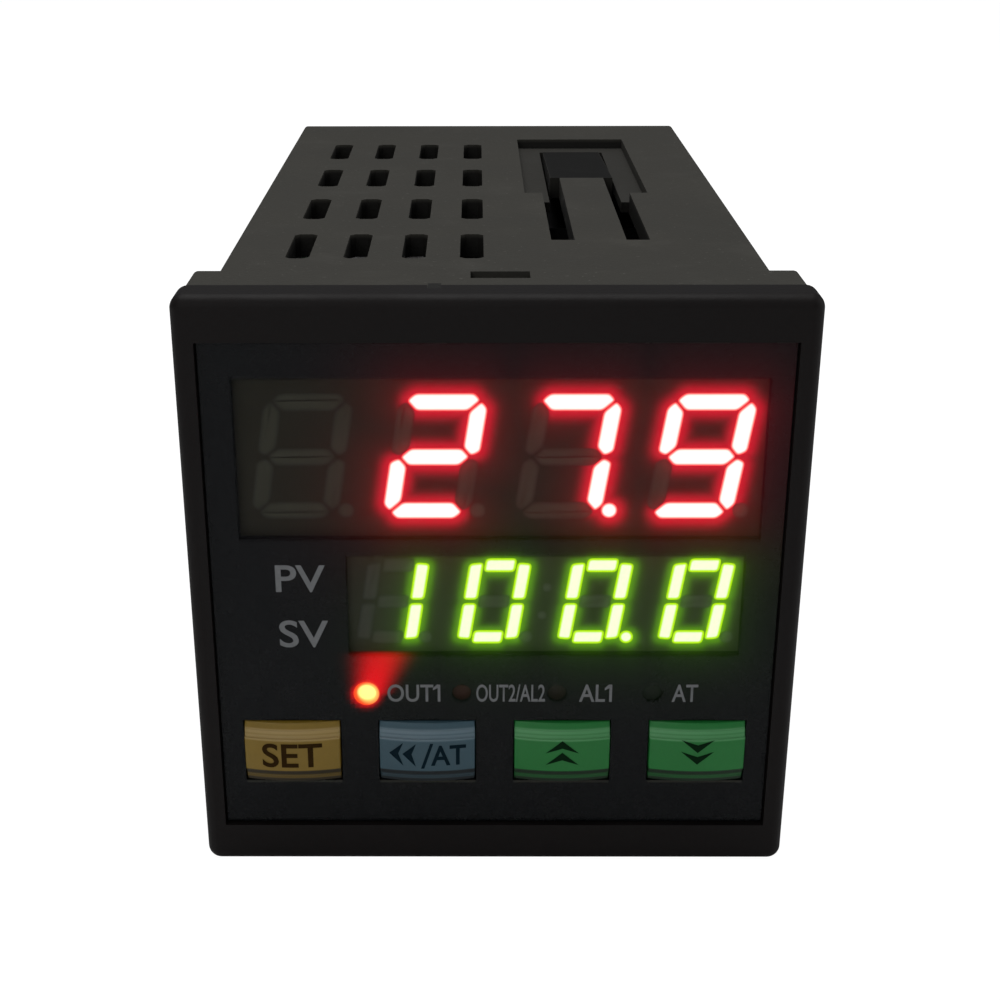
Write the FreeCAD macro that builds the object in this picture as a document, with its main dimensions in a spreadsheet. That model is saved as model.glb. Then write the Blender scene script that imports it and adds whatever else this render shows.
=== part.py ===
import FreeCAD, Part

import math
import operator
import os

import Sketcher

# Panel-mounted temperature controller with a square front.
# The origin is the centre of the panel seat, which is the rear face of the flange.
# X runs to the right seen from the front, Y runs into the panel and Z runs up.
# The front faces -Y. All sizes are in millimetres.

doc = FreeCAD.newDocument("temperature_controller")

# Driving sizes

SIZES = {
    # front bezel: rim, plate behind the film, skirt and snap hooks
    "bezel_side": 48.0,
    "bezel_depth": 3.4,
    "bezel_corner": 1.1,
    "bezel_edge": 1.0,
    "bezel_lip": 0.4,
    "bezel_plate": 1.2,
    "skirt_wall": 0.8,
    "skirt_gap": 0.1,
    "hook_shift": 0.35,
    "hook_length": 0.95,
    "hook_height": 1.1,
    "hook_gap": 0.1,
    "hook_side_gap": 0.35,
    "pry_width": 1.0,
    "pry_depth": 1.1,
    "pry_height": 0.6,
    "pry_shift": 4.65,
    # film on the front
    "film_side_margin": 1.85,
    "film_end_margin": 3.65,
    "film_thickness": 0.5,
    "film_recess": 1.0,
    "film_gap": 0.15,
    # sleeve: flange, case tube, mouth and bore
    "flange_step": 1.2,
    "flange_depth": 6.6,
    "flange_wall": 1.8,
    "flange_web": 1.4,
    "flange_corner": 0.5,
    "flange_edge": 0.25,
    "case_length": 82.5,
    "case_wall": 2.0,
    "case_corner": 0.5,
    "case_edge": 0.4,
    "bore_corner": 0.6,
    "window_width": 4.6,
    "window_length": 2.2,
    "window_skin": 0.5,
    # ventilation slots
    "vent_width": 2.0,
    "vent_length": 9.6,
    "vent_corner": 0.45,
    "vent_across": 4.86,
    "vent_along": 16.3,
    "vent_column": 16.45,
    "vent_row": 14.3,
    "vent_columns": 4,
    "vent_rows": 4,
    # sprung tongue and the clamp recess round it
    "tongue_shift": 9.33,
    "tongue_width": 4.5,
    "tongue_root": 16.7,
    "tongue_length": 30.1,
    "slot_width": 2.05,
    "recess_width": 12.1,
    "recess_length": 33.1,
    "recess_start": 38.6,
    "recess_depth": 1.0,
    "head_width": 6.4,
    "head_length": 21.5,
    "head_drop": 0.9,
    "head_gap": 0.35,
    # guides for the two side boards
    "guide_width": 1.0,
    "guide_height": 1.2,
    "guide_length": 6.0,
    "guide_start": 1.0,
    "guide_gap": 0.15,
    "catch_length": 3.0,
    "catch_width": 8.0,
    "catch_setback": 2.6,
    # circuit boards
    "board_thickness": 1.6,
    "board_gap": 0.2,
    "board_edge_gap": 0.5,
    "board_wall_gap": 1.2,
    "header_width": 2.5,
    "header_pins": 10,
    "header_pitch": 2.54,
    "header_pin": 0.64,
    "header_tail": 3.0,
    # displays: measured value above, set value below
    "digit_slant": 9.0,
    "display_sink": 0.5,
    "display_gap": 0.1,
    "guide_depth": 0.3,
    "segment_gap": 0.16,
    "pv_width": 40.3,
    "pv_height": 12.9,
    "pv_shift": 0.3,
    "pv_end_margin": 2.7,
    "pv_pitch": 10.16,
    "pv_digit_width": 6.6,
    "pv_digit_height": 10.05,
    "pv_stroke": 1.15,
    "pv_point": 0.6,
    "pv_point_shift": 4.0,
    "sv_width": 31.1,
    "sv_height": 8.6,
    "sv_shift": 3.9,
    "sv_spacing": 1.35,
    "sv_pitch": 8.0,
    "sv_digit_width": 4.9,
    "sv_digit_height": 7.45,
    "sv_stroke": 1.05,
    "sv_point": 0.5,
    "sv_point_shift": 3.05,
    "sv_colon": 0.4,
    "sv_colon_rise": 1.2,
    # status lamps
    "lamp_pitch": 7.67,
    "lamp_shift": 1.17,
    "lamp_spacing": 1.375,
    "lamp_radius": 0.95,
    "lamp_gap": 0.15,
    "lamp_bevel": 0.45,
    "lamp_sink": 0.4,
    # keys and their switches
    "key_width": 7.75,
    "key_height": 5.35,
    "key_margin": 1.835,
    "key_end_margin": 3.975,
    "key_crown": 0.5,
    "key_reach": 0.05,
    "key_step_out": 0.25,
    "key_step_in": 0.55,
    "key_gap": 0.1,
    "key_flange": 0.4,
    "key_flange_thickness": 0.75,
    "key_flange_gap": 0.05,
    "key_travel": 0.4,
    "switch_side": 6.0,
    "switch_clearance": 0.5,
    "stem_radius": 1.65,
    "stem_gap": 0.08,
    "stem_length": 1.4,
    "stem_hole": 1.3,
    # terminal block at the rear
    "block_gap": 0.2,
    "block_plug": 8.0,
    "block_lip": 1.5,
    "block_lip_step": 1.0,
    "block_reach": 7.5,
    "catch_nose": 1.2,
    "catch_gap": 0.2,
    "duct_width": 13.0,
    "duct_height": 35.0,
    "duct_floor": 2.0,
    "duct_slot_width": 10.0,
    "duct_slot_height": 5.0,
    "duct_slot_pitch": 11.0,
    "duct_slots": 3,
    "terminal_rows": 6,
    "terminal_pitch": 6.55,
    "terminal_width": 9.4,
    "terminal_height": 5.7,
    "terminal_depth": 5.0,
    "contact_thickness": 0.8,
    "contact_gap": 0.2,
    "tab_width": 1.0,
    "tab_length": 12.0,
    "tab_gap": 0.1,
    "washer_side": 5.2,
    "washer_thickness": 0.8,
    "screw_radius": 1.5,
    "screw_gap": 0.05,
    "screw_length": 8.0,
    "head_radius": 2.4,
    "head_height": 1.7,
    "cross_width": 0.9,
    "cross_length": 3.2,
    "cross_depth": 1.0,
    # parts on the side boards
    "capacitor_radius": 5.0,
    "capacitor_length": 16.0,
    "capacitor_setback": 15.0,
    "capacitor_drop": 10.0,
    "output_capacitor_radius": 4.0,
    "output_capacitor_length": 12.0,
    "output_capacitor_setback": 12.0,
    "output_capacitor_rise": 8.0,
    "core_length": 16.0,
    "core_height": 13.0,
    "core_width": 5.0,
    "core_limb": 3.2,
    "winding_gap": 0.2,
    "relay_length": 18.0,
    "relay_width": 10.0,
    "relay_height": 12.3,
    "relay_pitch": 11.5,
    "chip_side": 10.0,
    "chip_height": 1.4,
}

# The sheet holds each size once, and every object below is bound to its cells.

sheet = doc.addObject("Spreadsheet::Sheet", "Sizes")
for row, (alias, number) in enumerate(SIZES.items(), start=1):
    sheet.set(f"A{row}", alias)
    sheet.set(f"B{row}", str(number))
    sheet.setAlias(f"B{row}", alias)
doc.recompute()


# A size keeps its number and the sheet formula that it comes from.

class Size:
    def __init__(self, number, formula):
        self.number = number
        self.formula = formula

    def __add__(self, other):
        return joined(self, "+", other)

    def __radd__(self, other):
        return joined(other, "+", self)

    def __sub__(self, other):
        return joined(self, "-", other)

    def __rsub__(self, other):
        return joined(other, "-", self)

    def __mul__(self, other):
        return joined(self, "*", other)

    def __rmul__(self, other):
        return joined(other, "*", self)

    def __truediv__(self, other):
        return joined(self, "/", other)

    def __neg__(self):
        return joined(0, "-", self)


SIGNS = {"+": operator.add, "-": operator.sub, "*": operator.mul, "/": operator.truediv}


def as_size(value):
    if isinstance(value, Size):
        return value
    return Size(float(value), repr(float(value)))


def joined(left, sign, right):
    left, right = as_size(left), as_size(right)
    number = SIGNS[sign](left.number, right.number)
    return Size(number, f"({left.formula} {sign} {right.formula})")


class SheetSizes:
    def __getattr__(self, alias):
        return Size(float(sheet.get(alias)), f"Sizes.{alias}")


s = SheetSizes()


def bind(target, prop, size):
    """Set a property, and tie it to its sheet formula."""
    target.setExpression(prop, as_size(size).formula)


# Sketches and features of a body

ACROSS, ALONG, UP = "XZ_Plane", "XY_Plane", "YZ_Plane"
ZERO = as_size(0)
HOLE_SIDES = 8


def new_body(label):
    body = doc.addObject("PartDesign::Body", label)
    body.Label = label
    return body


def origin_part(body, role):
    return next(part for part in body.Origin.OriginFeatures if part.Role == role)


def new_sketch(body, name, plane, place):
    """A sketch parallel to an origin plane, at a place along the axis that the plane faces."""
    sketch = body.newObject("Sketcher::SketchObject", name)
    sketch.AttachmentSupport = (origin_part(body, plane), [""])
    sketch.MapMode = "FlatFace"
    bind(sketch, "AttachmentOffset.Base.z", -place if plane == ACROSS else place)
    return sketch


def hold(sketch, kind, size, *edge):
    """A measured constraint that follows its size."""
    index = sketch.addConstraint(Sketcher.Constraint(kind, *edge, as_size(size).number))
    bind(sketch, f"Constraints[{index}]", size)


def fix_point(sketch, edge, end, point):
    """Hold one end of an edge at a place given by two sizes."""
    for kind, size in zip(("DistanceX", "DistanceY"), point):
        hold(sketch, kind, size, -1, 1, edge, end)


def place_of(x, y):
    return FreeCAD.Vector(as_size(x).number, as_size(y).number, 0)


def draw_outline(sketch, points):
    """A closed outline of straight edges through points given as pairs of sizes."""
    places = [place_of(x, y) for x, y in points]
    edges = []
    for start, end in zip(places, places[1:] + places[:1]):
        edges.append(sketch.addGeometry(Part.LineSegment(start, end)))
    for edge, following in zip(edges, edges[1:] + edges[:1]):
        sketch.addConstraint(Sketcher.Constraint("Coincident", edge, 2, following, 1))
    for edge, point in zip(edges, points):
        fix_point(sketch, edge, 1, point)


def draw_rectangle(sketch, x, y):
    (x0, x1), (y0, y1) = x, y
    draw_outline(sketch, [(x0, y0), (x1, y0), (x1, y1), (x0, y1)])


def draw_rounded(sketch, x, y, radius):
    """A rectangle with a quarter circle at each corner."""
    (x0, x1), (y0, y1) = x, y
    corners = [
        ((x1 - radius, y0), (x1, y0 + radius), (x1 - radius, y0 + radius), 270),
        ((x1, y1 - radius), (x1 - radius, y1), (x1 - radius, y1 - radius), 0),
        ((x0 + radius, y1), (x0, y1 - radius), (x0 + radius, y1 - radius), 90),
        ((x0, y0 + radius), (x0 + radius, y0), (x0 + radius, y0 + radius), 180),
    ]
    arcs = []
    for start, end, centre, angle in corners:
        circle = Part.Circle(place_of(*centre), FreeCAD.Vector(0, 0, 1), radius.number)
        turn = math.radians(angle)
        arcs.append(sketch.addGeometry(Part.ArcOfCircle(circle, turn, turn + math.pi / 2)))
    for arc, following in zip(arcs, arcs[1:] + arcs[:1]):
        line = Part.LineSegment(sketch.getPoint(arc, 2), sketch.getPoint(following, 1))
        edge = sketch.addGeometry(line)
        sketch.addConstraint(Sketcher.Constraint("Coincident", arc, 2, edge, 1))
        sketch.addConstraint(Sketcher.Constraint("Coincident", edge, 2, following, 1))
    for arc, (start, end, centre, angle) in zip(arcs, corners):
        fix_point(sketch, arc, 1, start)
        fix_point(sketch, arc, 2, end)
        hold(sketch, "Radius", radius, arc)


def draw_clipped(sketch, x, y, corner):
    """A rectangle with its corners cut off."""
    (x0, x1), (y0, y1) = x, y
    draw_outline(sketch, [
        (x0 + corner, y0),
        (x1 - corner, y0),
        (x1, y0 + corner),
        (x1, y1 - corner),
        (x1 - corner, y1),
        (x0 + corner, y1),
        (x0, y1 - corner),
        (x0, y0 + corner),
    ])


def draw_polygon(sketch, centre, radius, sides=HOLE_SIDES):
    """A regular polygon with its corners on a circle."""
    angles = [2 * math.pi * index / sides for index in range(sides)]
    x, y = centre
    draw_outline(sketch, [(x + radius * math.cos(angle), y + radius * math.sin(angle)) for angle in angles])


def draw_circle(sketch, centre, radius):
    circle = sketch.addGeometry(Part.Circle(place_of(*centre), FreeCAD.Vector(0, 0, 1), radius.number))
    fix_point(sketch, circle, 3, centre)
    hold(sketch, "Radius", radius, circle)


def centred(width, shift=ZERO):
    """The two ends of a width that lies about a shift."""
    return shift - width / 2, shift + width / 2


def pad(body, sketch, length, midplane=False):
    """Raise a sketch. One on the ACROSS plane grows along +Y."""
    feature = body.newObject("PartDesign::Pad", sketch.Name + "_pad")
    feature.Profile = sketch
    feature.Midplane = midplane
    feature.Reversed = not midplane and sketch.AttachmentSupport[0][0].Role == ACROSS
    bind(feature, "Length", length)
    return feature


def pocket(body, sketch, depth, midplane=False):
    """Cut a sketch away. One on the ACROSS plane cuts along +Y, one on ALONG cuts down."""
    doc.recompute()
    before = body.Shape.Volume
    feature = body.newObject("PartDesign::Pocket", sketch.Name + "_pocket")
    feature.Profile = sketch
    feature.Midplane = midplane
    bind(feature, "Length", depth)
    doc.recompute()
    if body.Shape.Volume >= before:
        raise ValueError(f"{feature.Name} cuts nothing")
    return feature


def row_of(body, name, sketch, axis, pitch, count):
    """Settings of a pattern of copies, a pitch apart along one axis of a sketch."""
    pattern = body.newObject("PartDesign::LinearPattern", name)
    pattern.Direction = (sketch, [axis])
    pattern.Mode = "Spacing"
    bind(pattern, "Offset", pitch)
    bind(pattern, "Occurrences", count)
    return pattern


def half_turn(body, name):
    """Settings of a pattern that adds the same feature half a turn round the long axis."""
    pattern = body.newObject("PartDesign::PolarPattern", name)
    pattern.Axis = (origin_part(body, "Y_Axis"), [""])
    pattern.Mode = "Extent"
    pattern.Angle = 360
    pattern.Occurrences = 2
    return pattern


def repeat(body, name, originals, *patterns):
    """Repeat features by one pattern after another."""
    transform = body.newObject("PartDesign::MultiTransform", name)
    transform.Originals = originals
    transform.Transformations = list(patterns)
    body.Tip = transform
    return transform


def soften_edges(body, name, kind, size, wanted):
    """Fillet or chamfer the edges of the body's tip for which wanted(edge) is true."""
    doc.recompute()
    tip = body.Tip
    names = [f"Edge{i}" for i, edge in enumerate(tip.Shape.Edges, start=1) if wanted(edge)]
    softened = body.newObject("PartDesign::" + kind, name)
    softened.Base = (tip, names)
    bind(softened, "Radius" if kind == "Fillet" else "Size", size)
    return softened


def at_depth(depth, inner):
    """Picks the edges in the plane Y = depth that lie further out than inner."""
    def wanted(edge):
        box = edge.BoundBox
        flat = abs(box.YMin - depth.number) < 1e-4 and abs(box.YMax - depth.number) < 1e-4
        middle = edge.valueAt((edge.FirstParameter + edge.LastParameter) / 2)
        return flat and max(abs(middle.x), abs(middle.z)) > inner.number
    return wanted


# Primitives and booleans

AXES = {
    "X": FreeCAD.Rotation(FreeCAD.Vector(0, 1, 0), 90),
    "Y": FreeCAD.Rotation(FreeCAD.Vector(1, 0, 0), -90),
    "Z": FreeCAD.Rotation(),
}


def seat(target, x, y, z):
    for axis, size in zip("xyz", (x, y, z)):
        bind(target, f"Placement.Base.{axis}", size)


def block(label, x, y, z):
    """A box between two places along each axis."""
    box = doc.addObject("Part::Box", label)
    box.Label = label
    for prop, (low, high) in zip(("Length", "Width", "Height"), (x, y, z)):
        bind(box, prop, high - low)
    seat(box, x[0], y[0], z[0])
    return box


def rod(label, axis, radius, start, length, sides=0):
    """A cylinder that runs from its start along an axis, or a prism where it has sides."""
    solid = doc.addObject("Part::Prism" if sides else "Part::Cylinder", label)
    solid.Label = label
    solid.Placement = FreeCAD.Placement(FreeCAD.Vector(), AXES[axis])
    if sides:
        solid.Polygon = sides
    bind(solid, "Circumradius" if sides else "Radius", radius)
    bind(solid, "Height", length)
    seat(solid, *start)
    return solid


def fused(label, shapes):
    union = doc.addObject("Part::MultiFuse", label)
    union.Label = label
    union.Shapes = shapes
    return union


def grouped(label, shapes):
    """Separate solids that share one node."""
    compound = doc.addObject("Part::Compound", label)
    compound.Label = label
    compound.Links = shapes
    return compound


def cut(label, base, tool):
    difference = doc.addObject("Part::Cut", label)
    difference.Label = label
    difference.Base = base
    difference.Tool = tool
    return difference


# Depths and reaches that the pieces share

FLANGE_SIDE = s.bezel_side - s.bezel_lip * 2
CASE_SIDE = FLANGE_SIDE - s.flange_step * 2
FILM_WIDTH = s.bezel_side - s.film_side_margin * 2
FILM_HEIGHT = s.bezel_side - s.film_end_margin * 2
KEY_RISE = s.key_end_margin + s.key_height / 2 - FILM_HEIGHT / 2
LAMP_RISE = KEY_RISE + s.key_height / 2 + s.lamp_spacing + s.lamp_radius
PV_RISE = FILM_HEIGHT / 2 - s.pv_end_margin - s.pv_height / 2
SV_RISE = PV_RISE - s.pv_height / 2 - s.sv_spacing - s.sv_height / 2
BEZEL_BACK = -s.flange_depth
FRONT = BEZEL_BACK - s.bezel_depth
FILM_BACK = FRONT + s.film_recess
FILM_FRONT = FILM_BACK - s.film_thickness
PLATE_BACK = FILM_BACK + s.bezel_plate
BOARD_BACK = -s.flange_web
BOARD_FRONT = BOARD_BACK - s.board_thickness
CASE_BACK = s.case_length
MOUTH_HALF = FLANGE_SIDE / 2 - s.flange_wall
BORE_HALF = CASE_SIDE / 2 - s.case_wall
SKIRT_HALF = MOUTH_HALF - s.skirt_gap
CASE_HALF = CASE_SIDE / 2
SIDE_BOARD_OUT = BORE_HALF - s.board_wall_gap
SIDE_BOARD_IN = SIDE_BOARD_OUT - s.board_thickness
SIDE_BOARD_FRONT = BOARD_BACK + s.board_gap
PLUG_FRONT = CASE_BACK - s.block_plug
SIDE_BOARD_BACK = PLUG_FRONT - s.board_gap


# Sleeve: one moulding with the flange, the case tube, vents, sprung tongues and board guides

def make_sleeve():
    body = new_body("case_sleeve")

    tube = new_sketch(body, "tube", ACROSS, ZERO)
    draw_rounded(tube, centred(CASE_SIDE), centred(CASE_SIDE), s.case_corner)
    pad(body, tube, s.case_length)

    flange = new_sketch(body, "flange", ACROSS, BEZEL_BACK)
    draw_rounded(flange, centred(FLANGE_SIDE), centred(FLANGE_SIDE), s.flange_corner)
    pad(body, flange, s.flange_depth)

    soften_edges(body, "case_rear_edge", "Chamfer", s.case_edge, at_depth(CASE_BACK, ZERO))
    outside_case = at_depth(ZERO, CASE_HALF + s.flange_edge)
    soften_edges(body, "flange_rear_edge", "Chamfer", s.flange_edge, outside_case)

    mouth = new_sketch(body, "mouth", ACROSS, BEZEL_BACK)
    draw_rounded(mouth, centred(MOUTH_HALF * 2), centred(MOUTH_HALF * 2), s.bore_corner)
    pocket(body, mouth, s.flange_depth - s.flange_web)

    bore = new_sketch(body, "bore", ACROSS, BOARD_BACK)
    draw_rounded(bore, centred(BORE_HALF * 2), centred(BORE_HALF * 2), s.bore_corner)
    pocket(body, bore, s.flange_web + s.case_length)

    add_guides(body)
    add_tongue(body)

    window = new_sketch(body, "hook_window", ALONG, FLANGE_SIDE / 2)
    window_y = (-s.window_skin - s.window_length, -s.window_skin)
    draw_rectangle(window, centred(s.window_width, s.hook_shift), window_y)
    window_pocket = pocket(body, window, s.flange_wall)
    repeat(body, "hook_windows", [window_pocket], half_turn(body, "hook_window_turn"))

    catch = new_sketch(body, "catch_window", UP, CASE_HALF)
    catch_back = CASE_BACK - s.catch_setback
    draw_rectangle(catch, (catch_back - s.catch_length, catch_back), centred(s.catch_width))
    catch_pocket = pocket(body, catch, s.case_wall)
    repeat(body, "catch_windows", [catch_pocket], half_turn(body, "catch_window_turn"))
    add_vents(body)
    return body


def add_guides(body):
    """Pairs of ribs, front and rear, that hold the edges of the two side boards."""
    inner = SIDE_BOARD_IN - s.guide_gap
    outer = SIDE_BOARD_OUT + s.guide_gap
    rear_start = SIDE_BOARD_BACK - s.guide_length
    for name, start in (("front_guides", s.guide_start), ("rear_guides", rear_start)):
        ribs = new_sketch(body, name, ACROSS, start)
        for side in (1, -1):
            for near, far in ((inner - s.guide_width, inner), (outer, BORE_HALF)):
                ends = (near, far) if side > 0 else (-far, -near)
                draw_rectangle(ribs, ends, (BORE_HALF - s.guide_height, BORE_HALF))
                draw_rectangle(ribs, ends, (-BORE_HALF, s.guide_height - BORE_HALF))
        pad(body, ribs, s.guide_length)


def add_vents(body):
    """Rows of through slots in the top, and the same half a turn round in the bottom."""
    vent = new_sketch(body, "vent", ALONG, CASE_HALF)
    vent_x, vent_y = centred(s.vent_width, -s.vent_column), centred(s.vent_length, s.vent_row)
    draw_clipped(vent, vent_x, vent_y, s.vent_corner)
    one_vent = pocket(body, vent, s.case_wall)
    columns = row_of(body, "vent_columns", vent, "H_Axis", s.vent_across, s.vent_columns)
    rows = row_of(body, "vent_rows", vent, "V_Axis", s.vent_along, s.vent_rows)
    repeat(body, "vents", [one_vent], columns, rows, half_turn(body, "vent_turn"))


def add_tongue(body):
    """A sprung tongue with a wider ramped head, cut free of the wall, and the recess round it."""
    middle = s.tongue_shift
    tongue_in, tongue_out = centred(s.tongue_width, middle)
    head_in, head_out = centred(s.head_width, middle)
    head_start = s.tongue_root + s.tongue_length
    head_end = head_start + s.head_length
    recess_end = s.recess_start + s.recess_length
    recess_in, recess_out = centred(s.recess_width, middle)

    recess = new_sketch(body, "clamp_recess", ALONG, CASE_HALF)
    draw_outline(recess, [
        (recess_in, s.recess_start),
        (tongue_in, s.recess_start),
        (tongue_in, head_start),
        (head_in, head_start),
        (head_in, head_end),
        (head_out, head_end),
        (head_out, head_start),
        (tongue_out, head_start),
        (tongue_out, s.recess_start),
        (recess_out, s.recess_start),
        (recess_out, recess_end),
        (recess_in, recess_end),
    ])
    recess_pocket = pocket(body, recess, s.recess_depth)

    gap = s.head_gap
    slots = new_sketch(body, "tongue_slots", ALONG, CASE_HALF)
    draw_outline(slots, [
        (tongue_in - s.slot_width, s.tongue_root),
        (tongue_in, s.tongue_root),
        (tongue_in, head_start),
        (head_in, head_start),
        (head_in, head_end),
        (head_out, head_end),
        (head_out, head_start),
        (tongue_out, head_start),
        (tongue_out, s.tongue_root),
        (tongue_out + s.slot_width, s.tongue_root),
        (tongue_out + s.slot_width, s.recess_start + gap),
        (head_out + gap, s.recess_start + gap),
        (head_out + gap, head_end + gap),
        (head_in - gap, head_end + gap),
        (head_in - gap, s.recess_start + gap),
        (tongue_in - s.slot_width, s.recess_start + gap),
    ])
    slot_pocket = pocket(body, slots, s.case_wall)

    ramp = new_sketch(body, "head_ramp", UP, middle)
    draw_outline(ramp, [
        (head_start, CASE_HALF),
        (head_end, CASE_HALF - s.head_drop),
        (head_end, CASE_HALF),
    ])
    ramp_pocket = pocket(body, ramp, s.head_width, midplane=True)
    tongue_cuts = [recess_pocket, slot_pocket, ramp_pocket]
    repeat(body, "tongues", tongue_cuts, half_turn(body, "tongue_turn"))


# Front bezel: rim, recessed plate with its windows, skirt and two snap hooks

KEYS = ("set", "shift", "up", "down")
LAMPS = ("out1", "out2", "al1", "at")


KEY_PITCH = (FILM_WIDTH - s.key_margin * 2 - s.key_width) / (len(KEYS) - 1)


def key_middle(index):
    return KEY_PITCH * (index - (len(KEYS) - 1) / 2)


def lamp_middle(index):
    return s.lamp_shift + s.lamp_pitch * (index - (len(LAMPS) - 1) / 2)


def make_bezel():
    body = new_body("front_bezel")

    rim = new_sketch(body, "rim", ACROSS, FRONT)
    draw_rounded(rim, centred(s.bezel_side), centred(s.bezel_side), s.bezel_corner)
    pad(body, rim, s.bezel_depth)
    soften_edges(body, "rim_edge", "Fillet", s.bezel_edge, at_depth(FRONT, ZERO))

    skirt = new_sketch(body, "skirt", ACROSS, BEZEL_BACK)
    draw_rounded(skirt, centred(SKIRT_HALF * 2), centred(SKIRT_HALF * 2), s.bore_corner)
    skirt_depth = BOARD_FRONT - s.skirt_gap - BEZEL_BACK
    pad(body, skirt, skirt_depth)

    film_seat = new_sketch(body, "film_seat", ACROSS, FRONT)
    draw_rectangle(film_seat, centred(FILM_WIDTH + s.film_gap * 2), centred(FILM_HEIGHT + s.film_gap * 2))
    pocket(body, film_seat, s.film_recess)

    hollow = new_sketch(body, "hollow", ACROSS, PLATE_BACK)
    hollow_half = SKIRT_HALF - s.skirt_wall
    draw_rectangle(hollow, centred(hollow_half * 2), centred(hollow_half * 2))
    pocket(body, hollow, BEZEL_BACK + skirt_depth - PLATE_BACK)

    windows = new_sketch(body, "windows", ACROSS, FILM_BACK)
    for width, height, shift, rise in (
        (s.pv_width, s.pv_height, s.pv_shift, PV_RISE),
        (s.sv_width, s.sv_height, s.sv_shift, SV_RISE),
    ):
        across = centred(width + s.display_gap * 2, shift)
        draw_rectangle(windows, across, centred(height + s.display_gap * 2, rise))
    for index in range(len(KEYS)):
        key_x = centred(s.key_width + s.key_gap * 2, key_middle(index))
        draw_rectangle(windows, key_x, centred(s.key_height + s.key_gap * 2, KEY_RISE))
    for index in range(len(LAMPS)):
        draw_circle(windows, (lamp_middle(index), LAMP_RISE), s.lamp_radius + s.lamp_gap)
    pocket(body, windows, s.bezel_plate)

    pry = new_sketch(body, "pry_notch", ALONG, s.bezel_side / 2)
    draw_rectangle(pry, centred(s.pry_width, -s.pry_shift), (BEZEL_BACK - s.pry_depth, BEZEL_BACK))
    pocket(body, pry, s.pry_height)

    hook = new_sketch(body, "hook", UP, s.hook_shift)
    nose_front = -s.window_skin - s.window_length + s.hook_gap
    nose_back = nose_front + s.hook_length
    skirt_back = BEZEL_BACK + skirt_depth
    draw_outline(hook, [
        (skirt_back, hollow_half),
        (nose_back, hollow_half),
        (nose_back, SKIRT_HALF),
        (nose_front, SKIRT_HALF + s.hook_height),
        (nose_front, SKIRT_HALF),
        (skirt_back, SKIRT_HALF),
    ])
    hook_pad = pad(body, hook, s.window_width - s.hook_side_gap * 2, midplane=True)
    repeat(body, "hooks", [hook_pad], half_turn(body, "hook_turn"))
    return body


def make_film():
    """The printed film, with an opening for each key."""
    body = new_body("front_film")
    sheet_outline = new_sketch(body, "film", ACROSS, FILM_FRONT)
    draw_rectangle(sheet_outline, centred(FILM_WIDTH), centred(FILM_HEIGHT))
    for index in range(len(KEYS)):
        key_x = centred(s.key_width + s.key_gap * 2, key_middle(index))
        draw_rectangle(sheet_outline, key_x, centred(s.key_height + s.key_gap * 2, KEY_RISE))
    pad(body, sheet_outline, s.film_thickness)
    return body


# Keys: crowned caps with stepped ends and a retaining flange, each over a push switch

KEY_BACK = PLATE_BACK + s.key_flange_gap
KEY_SEAT = KEY_BACK + s.key_flange_thickness
SWITCH_FRONT = KEY_SEAT + s.key_travel + s.switch_clearance


def draw_cap_plan(sketch, middle, front_centre):
    """The cap seen from above: straight sides, and a front that bulges by the crown."""
    left, right = centred(s.key_width, middle)
    front_side = front_centre + s.key_crown
    corners = [(left, front_side), (left, KEY_BACK), (right, KEY_BACK), (right, front_side)]
    places = [place_of(x, y) for x, y in corners]
    edges = [sketch.addGeometry(Part.LineSegment(a, b)) for a, b in zip(places, places[1:])]
    peak = place_of(middle, front_centre)
    arc = sketch.addGeometry(Part.Arc(places[0], peak, places[3]))
    for edge, following in zip(edges, edges[1:]):
        sketch.addConstraint(Sketcher.Constraint("Coincident", edge, 2, following, 1))
    ends = ((1, edges[0], 1), (2, edges[-1], 2))
    start_away, end_away = (sketch.getPoint(arc, end).distanceToPoint(places[0]) for end in (1, 2))
    if start_away > end_away:
        ends = ((2, edges[0], 1), (1, edges[-1], 2))
    for end, edge, edge_end in ends:
        sketch.addConstraint(Sketcher.Constraint("Coincident", arc, end, edge, edge_end))
    for edge, corner in zip(edges, corners):
        fix_point(sketch, edge, 1, corner)
    fix_point(sketch, edges[-1], 2, corners[-1])
    half = s.key_width / 2
    hold(sketch, "Radius", (half * half + s.key_crown * s.key_crown) / (s.key_crown * 2), arc)


def make_key(name, index):
    body = new_body(f"{name}_key")
    middle = key_middle(index)
    for step, part in enumerate(("base", "step", "face")):
        half_height = s.key_height / 2 - s.key_step_in * step
        plan = new_sketch(body, f"{name}_{part}", ALONG, KEY_RISE - half_height)
        front_centre = FILM_FRONT - s.key_crown - s.key_reach - s.key_step_out * step
        draw_cap_plan(plan, middle, front_centre)
        pad(body, plan, half_height * 2)
    flange = new_sketch(body, f"{name}_flange", ACROSS, KEY_BACK)
    draw_rectangle(
        flange,
        centred(s.key_width + s.key_flange * 2, middle),
        centred(s.key_height + s.key_flange * 2, KEY_RISE),
    )
    pad(body, flange, s.key_flange_thickness)
    return body


def make_switch(name, index):
    """The switch body on the display board, and the stem that the cap pushes into it."""
    middle = key_middle(index)
    stem = rod(f"{name}_stem", "Y", s.stem_radius, (middle, KEY_SEAT, KEY_RISE), s.stem_length)
    side = centred(s.switch_side, middle)
    upright = centred(s.switch_side, KEY_RISE)
    shell = block(f"{name}_switch_shell", side, (SWITCH_FRONT, BOARD_FRONT), upright)
    start = (middle, SWITCH_FRONT, KEY_RISE)
    hole = rod(f"{name}_switch_hole", "Y", s.stem_radius + s.stem_gap, start, s.stem_hole)
    return stem, cut(f"{name}_switch", shell, hole)


# Displays: a housing on the board, with thin light guides for segments and points on its face

GUIDE_FRONT = FILM_BACK + s.display_sink
GUIDE_BACK = GUIDE_FRONT + s.guide_depth
DIGITS = 4
POINT_SIDES = 8

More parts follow.
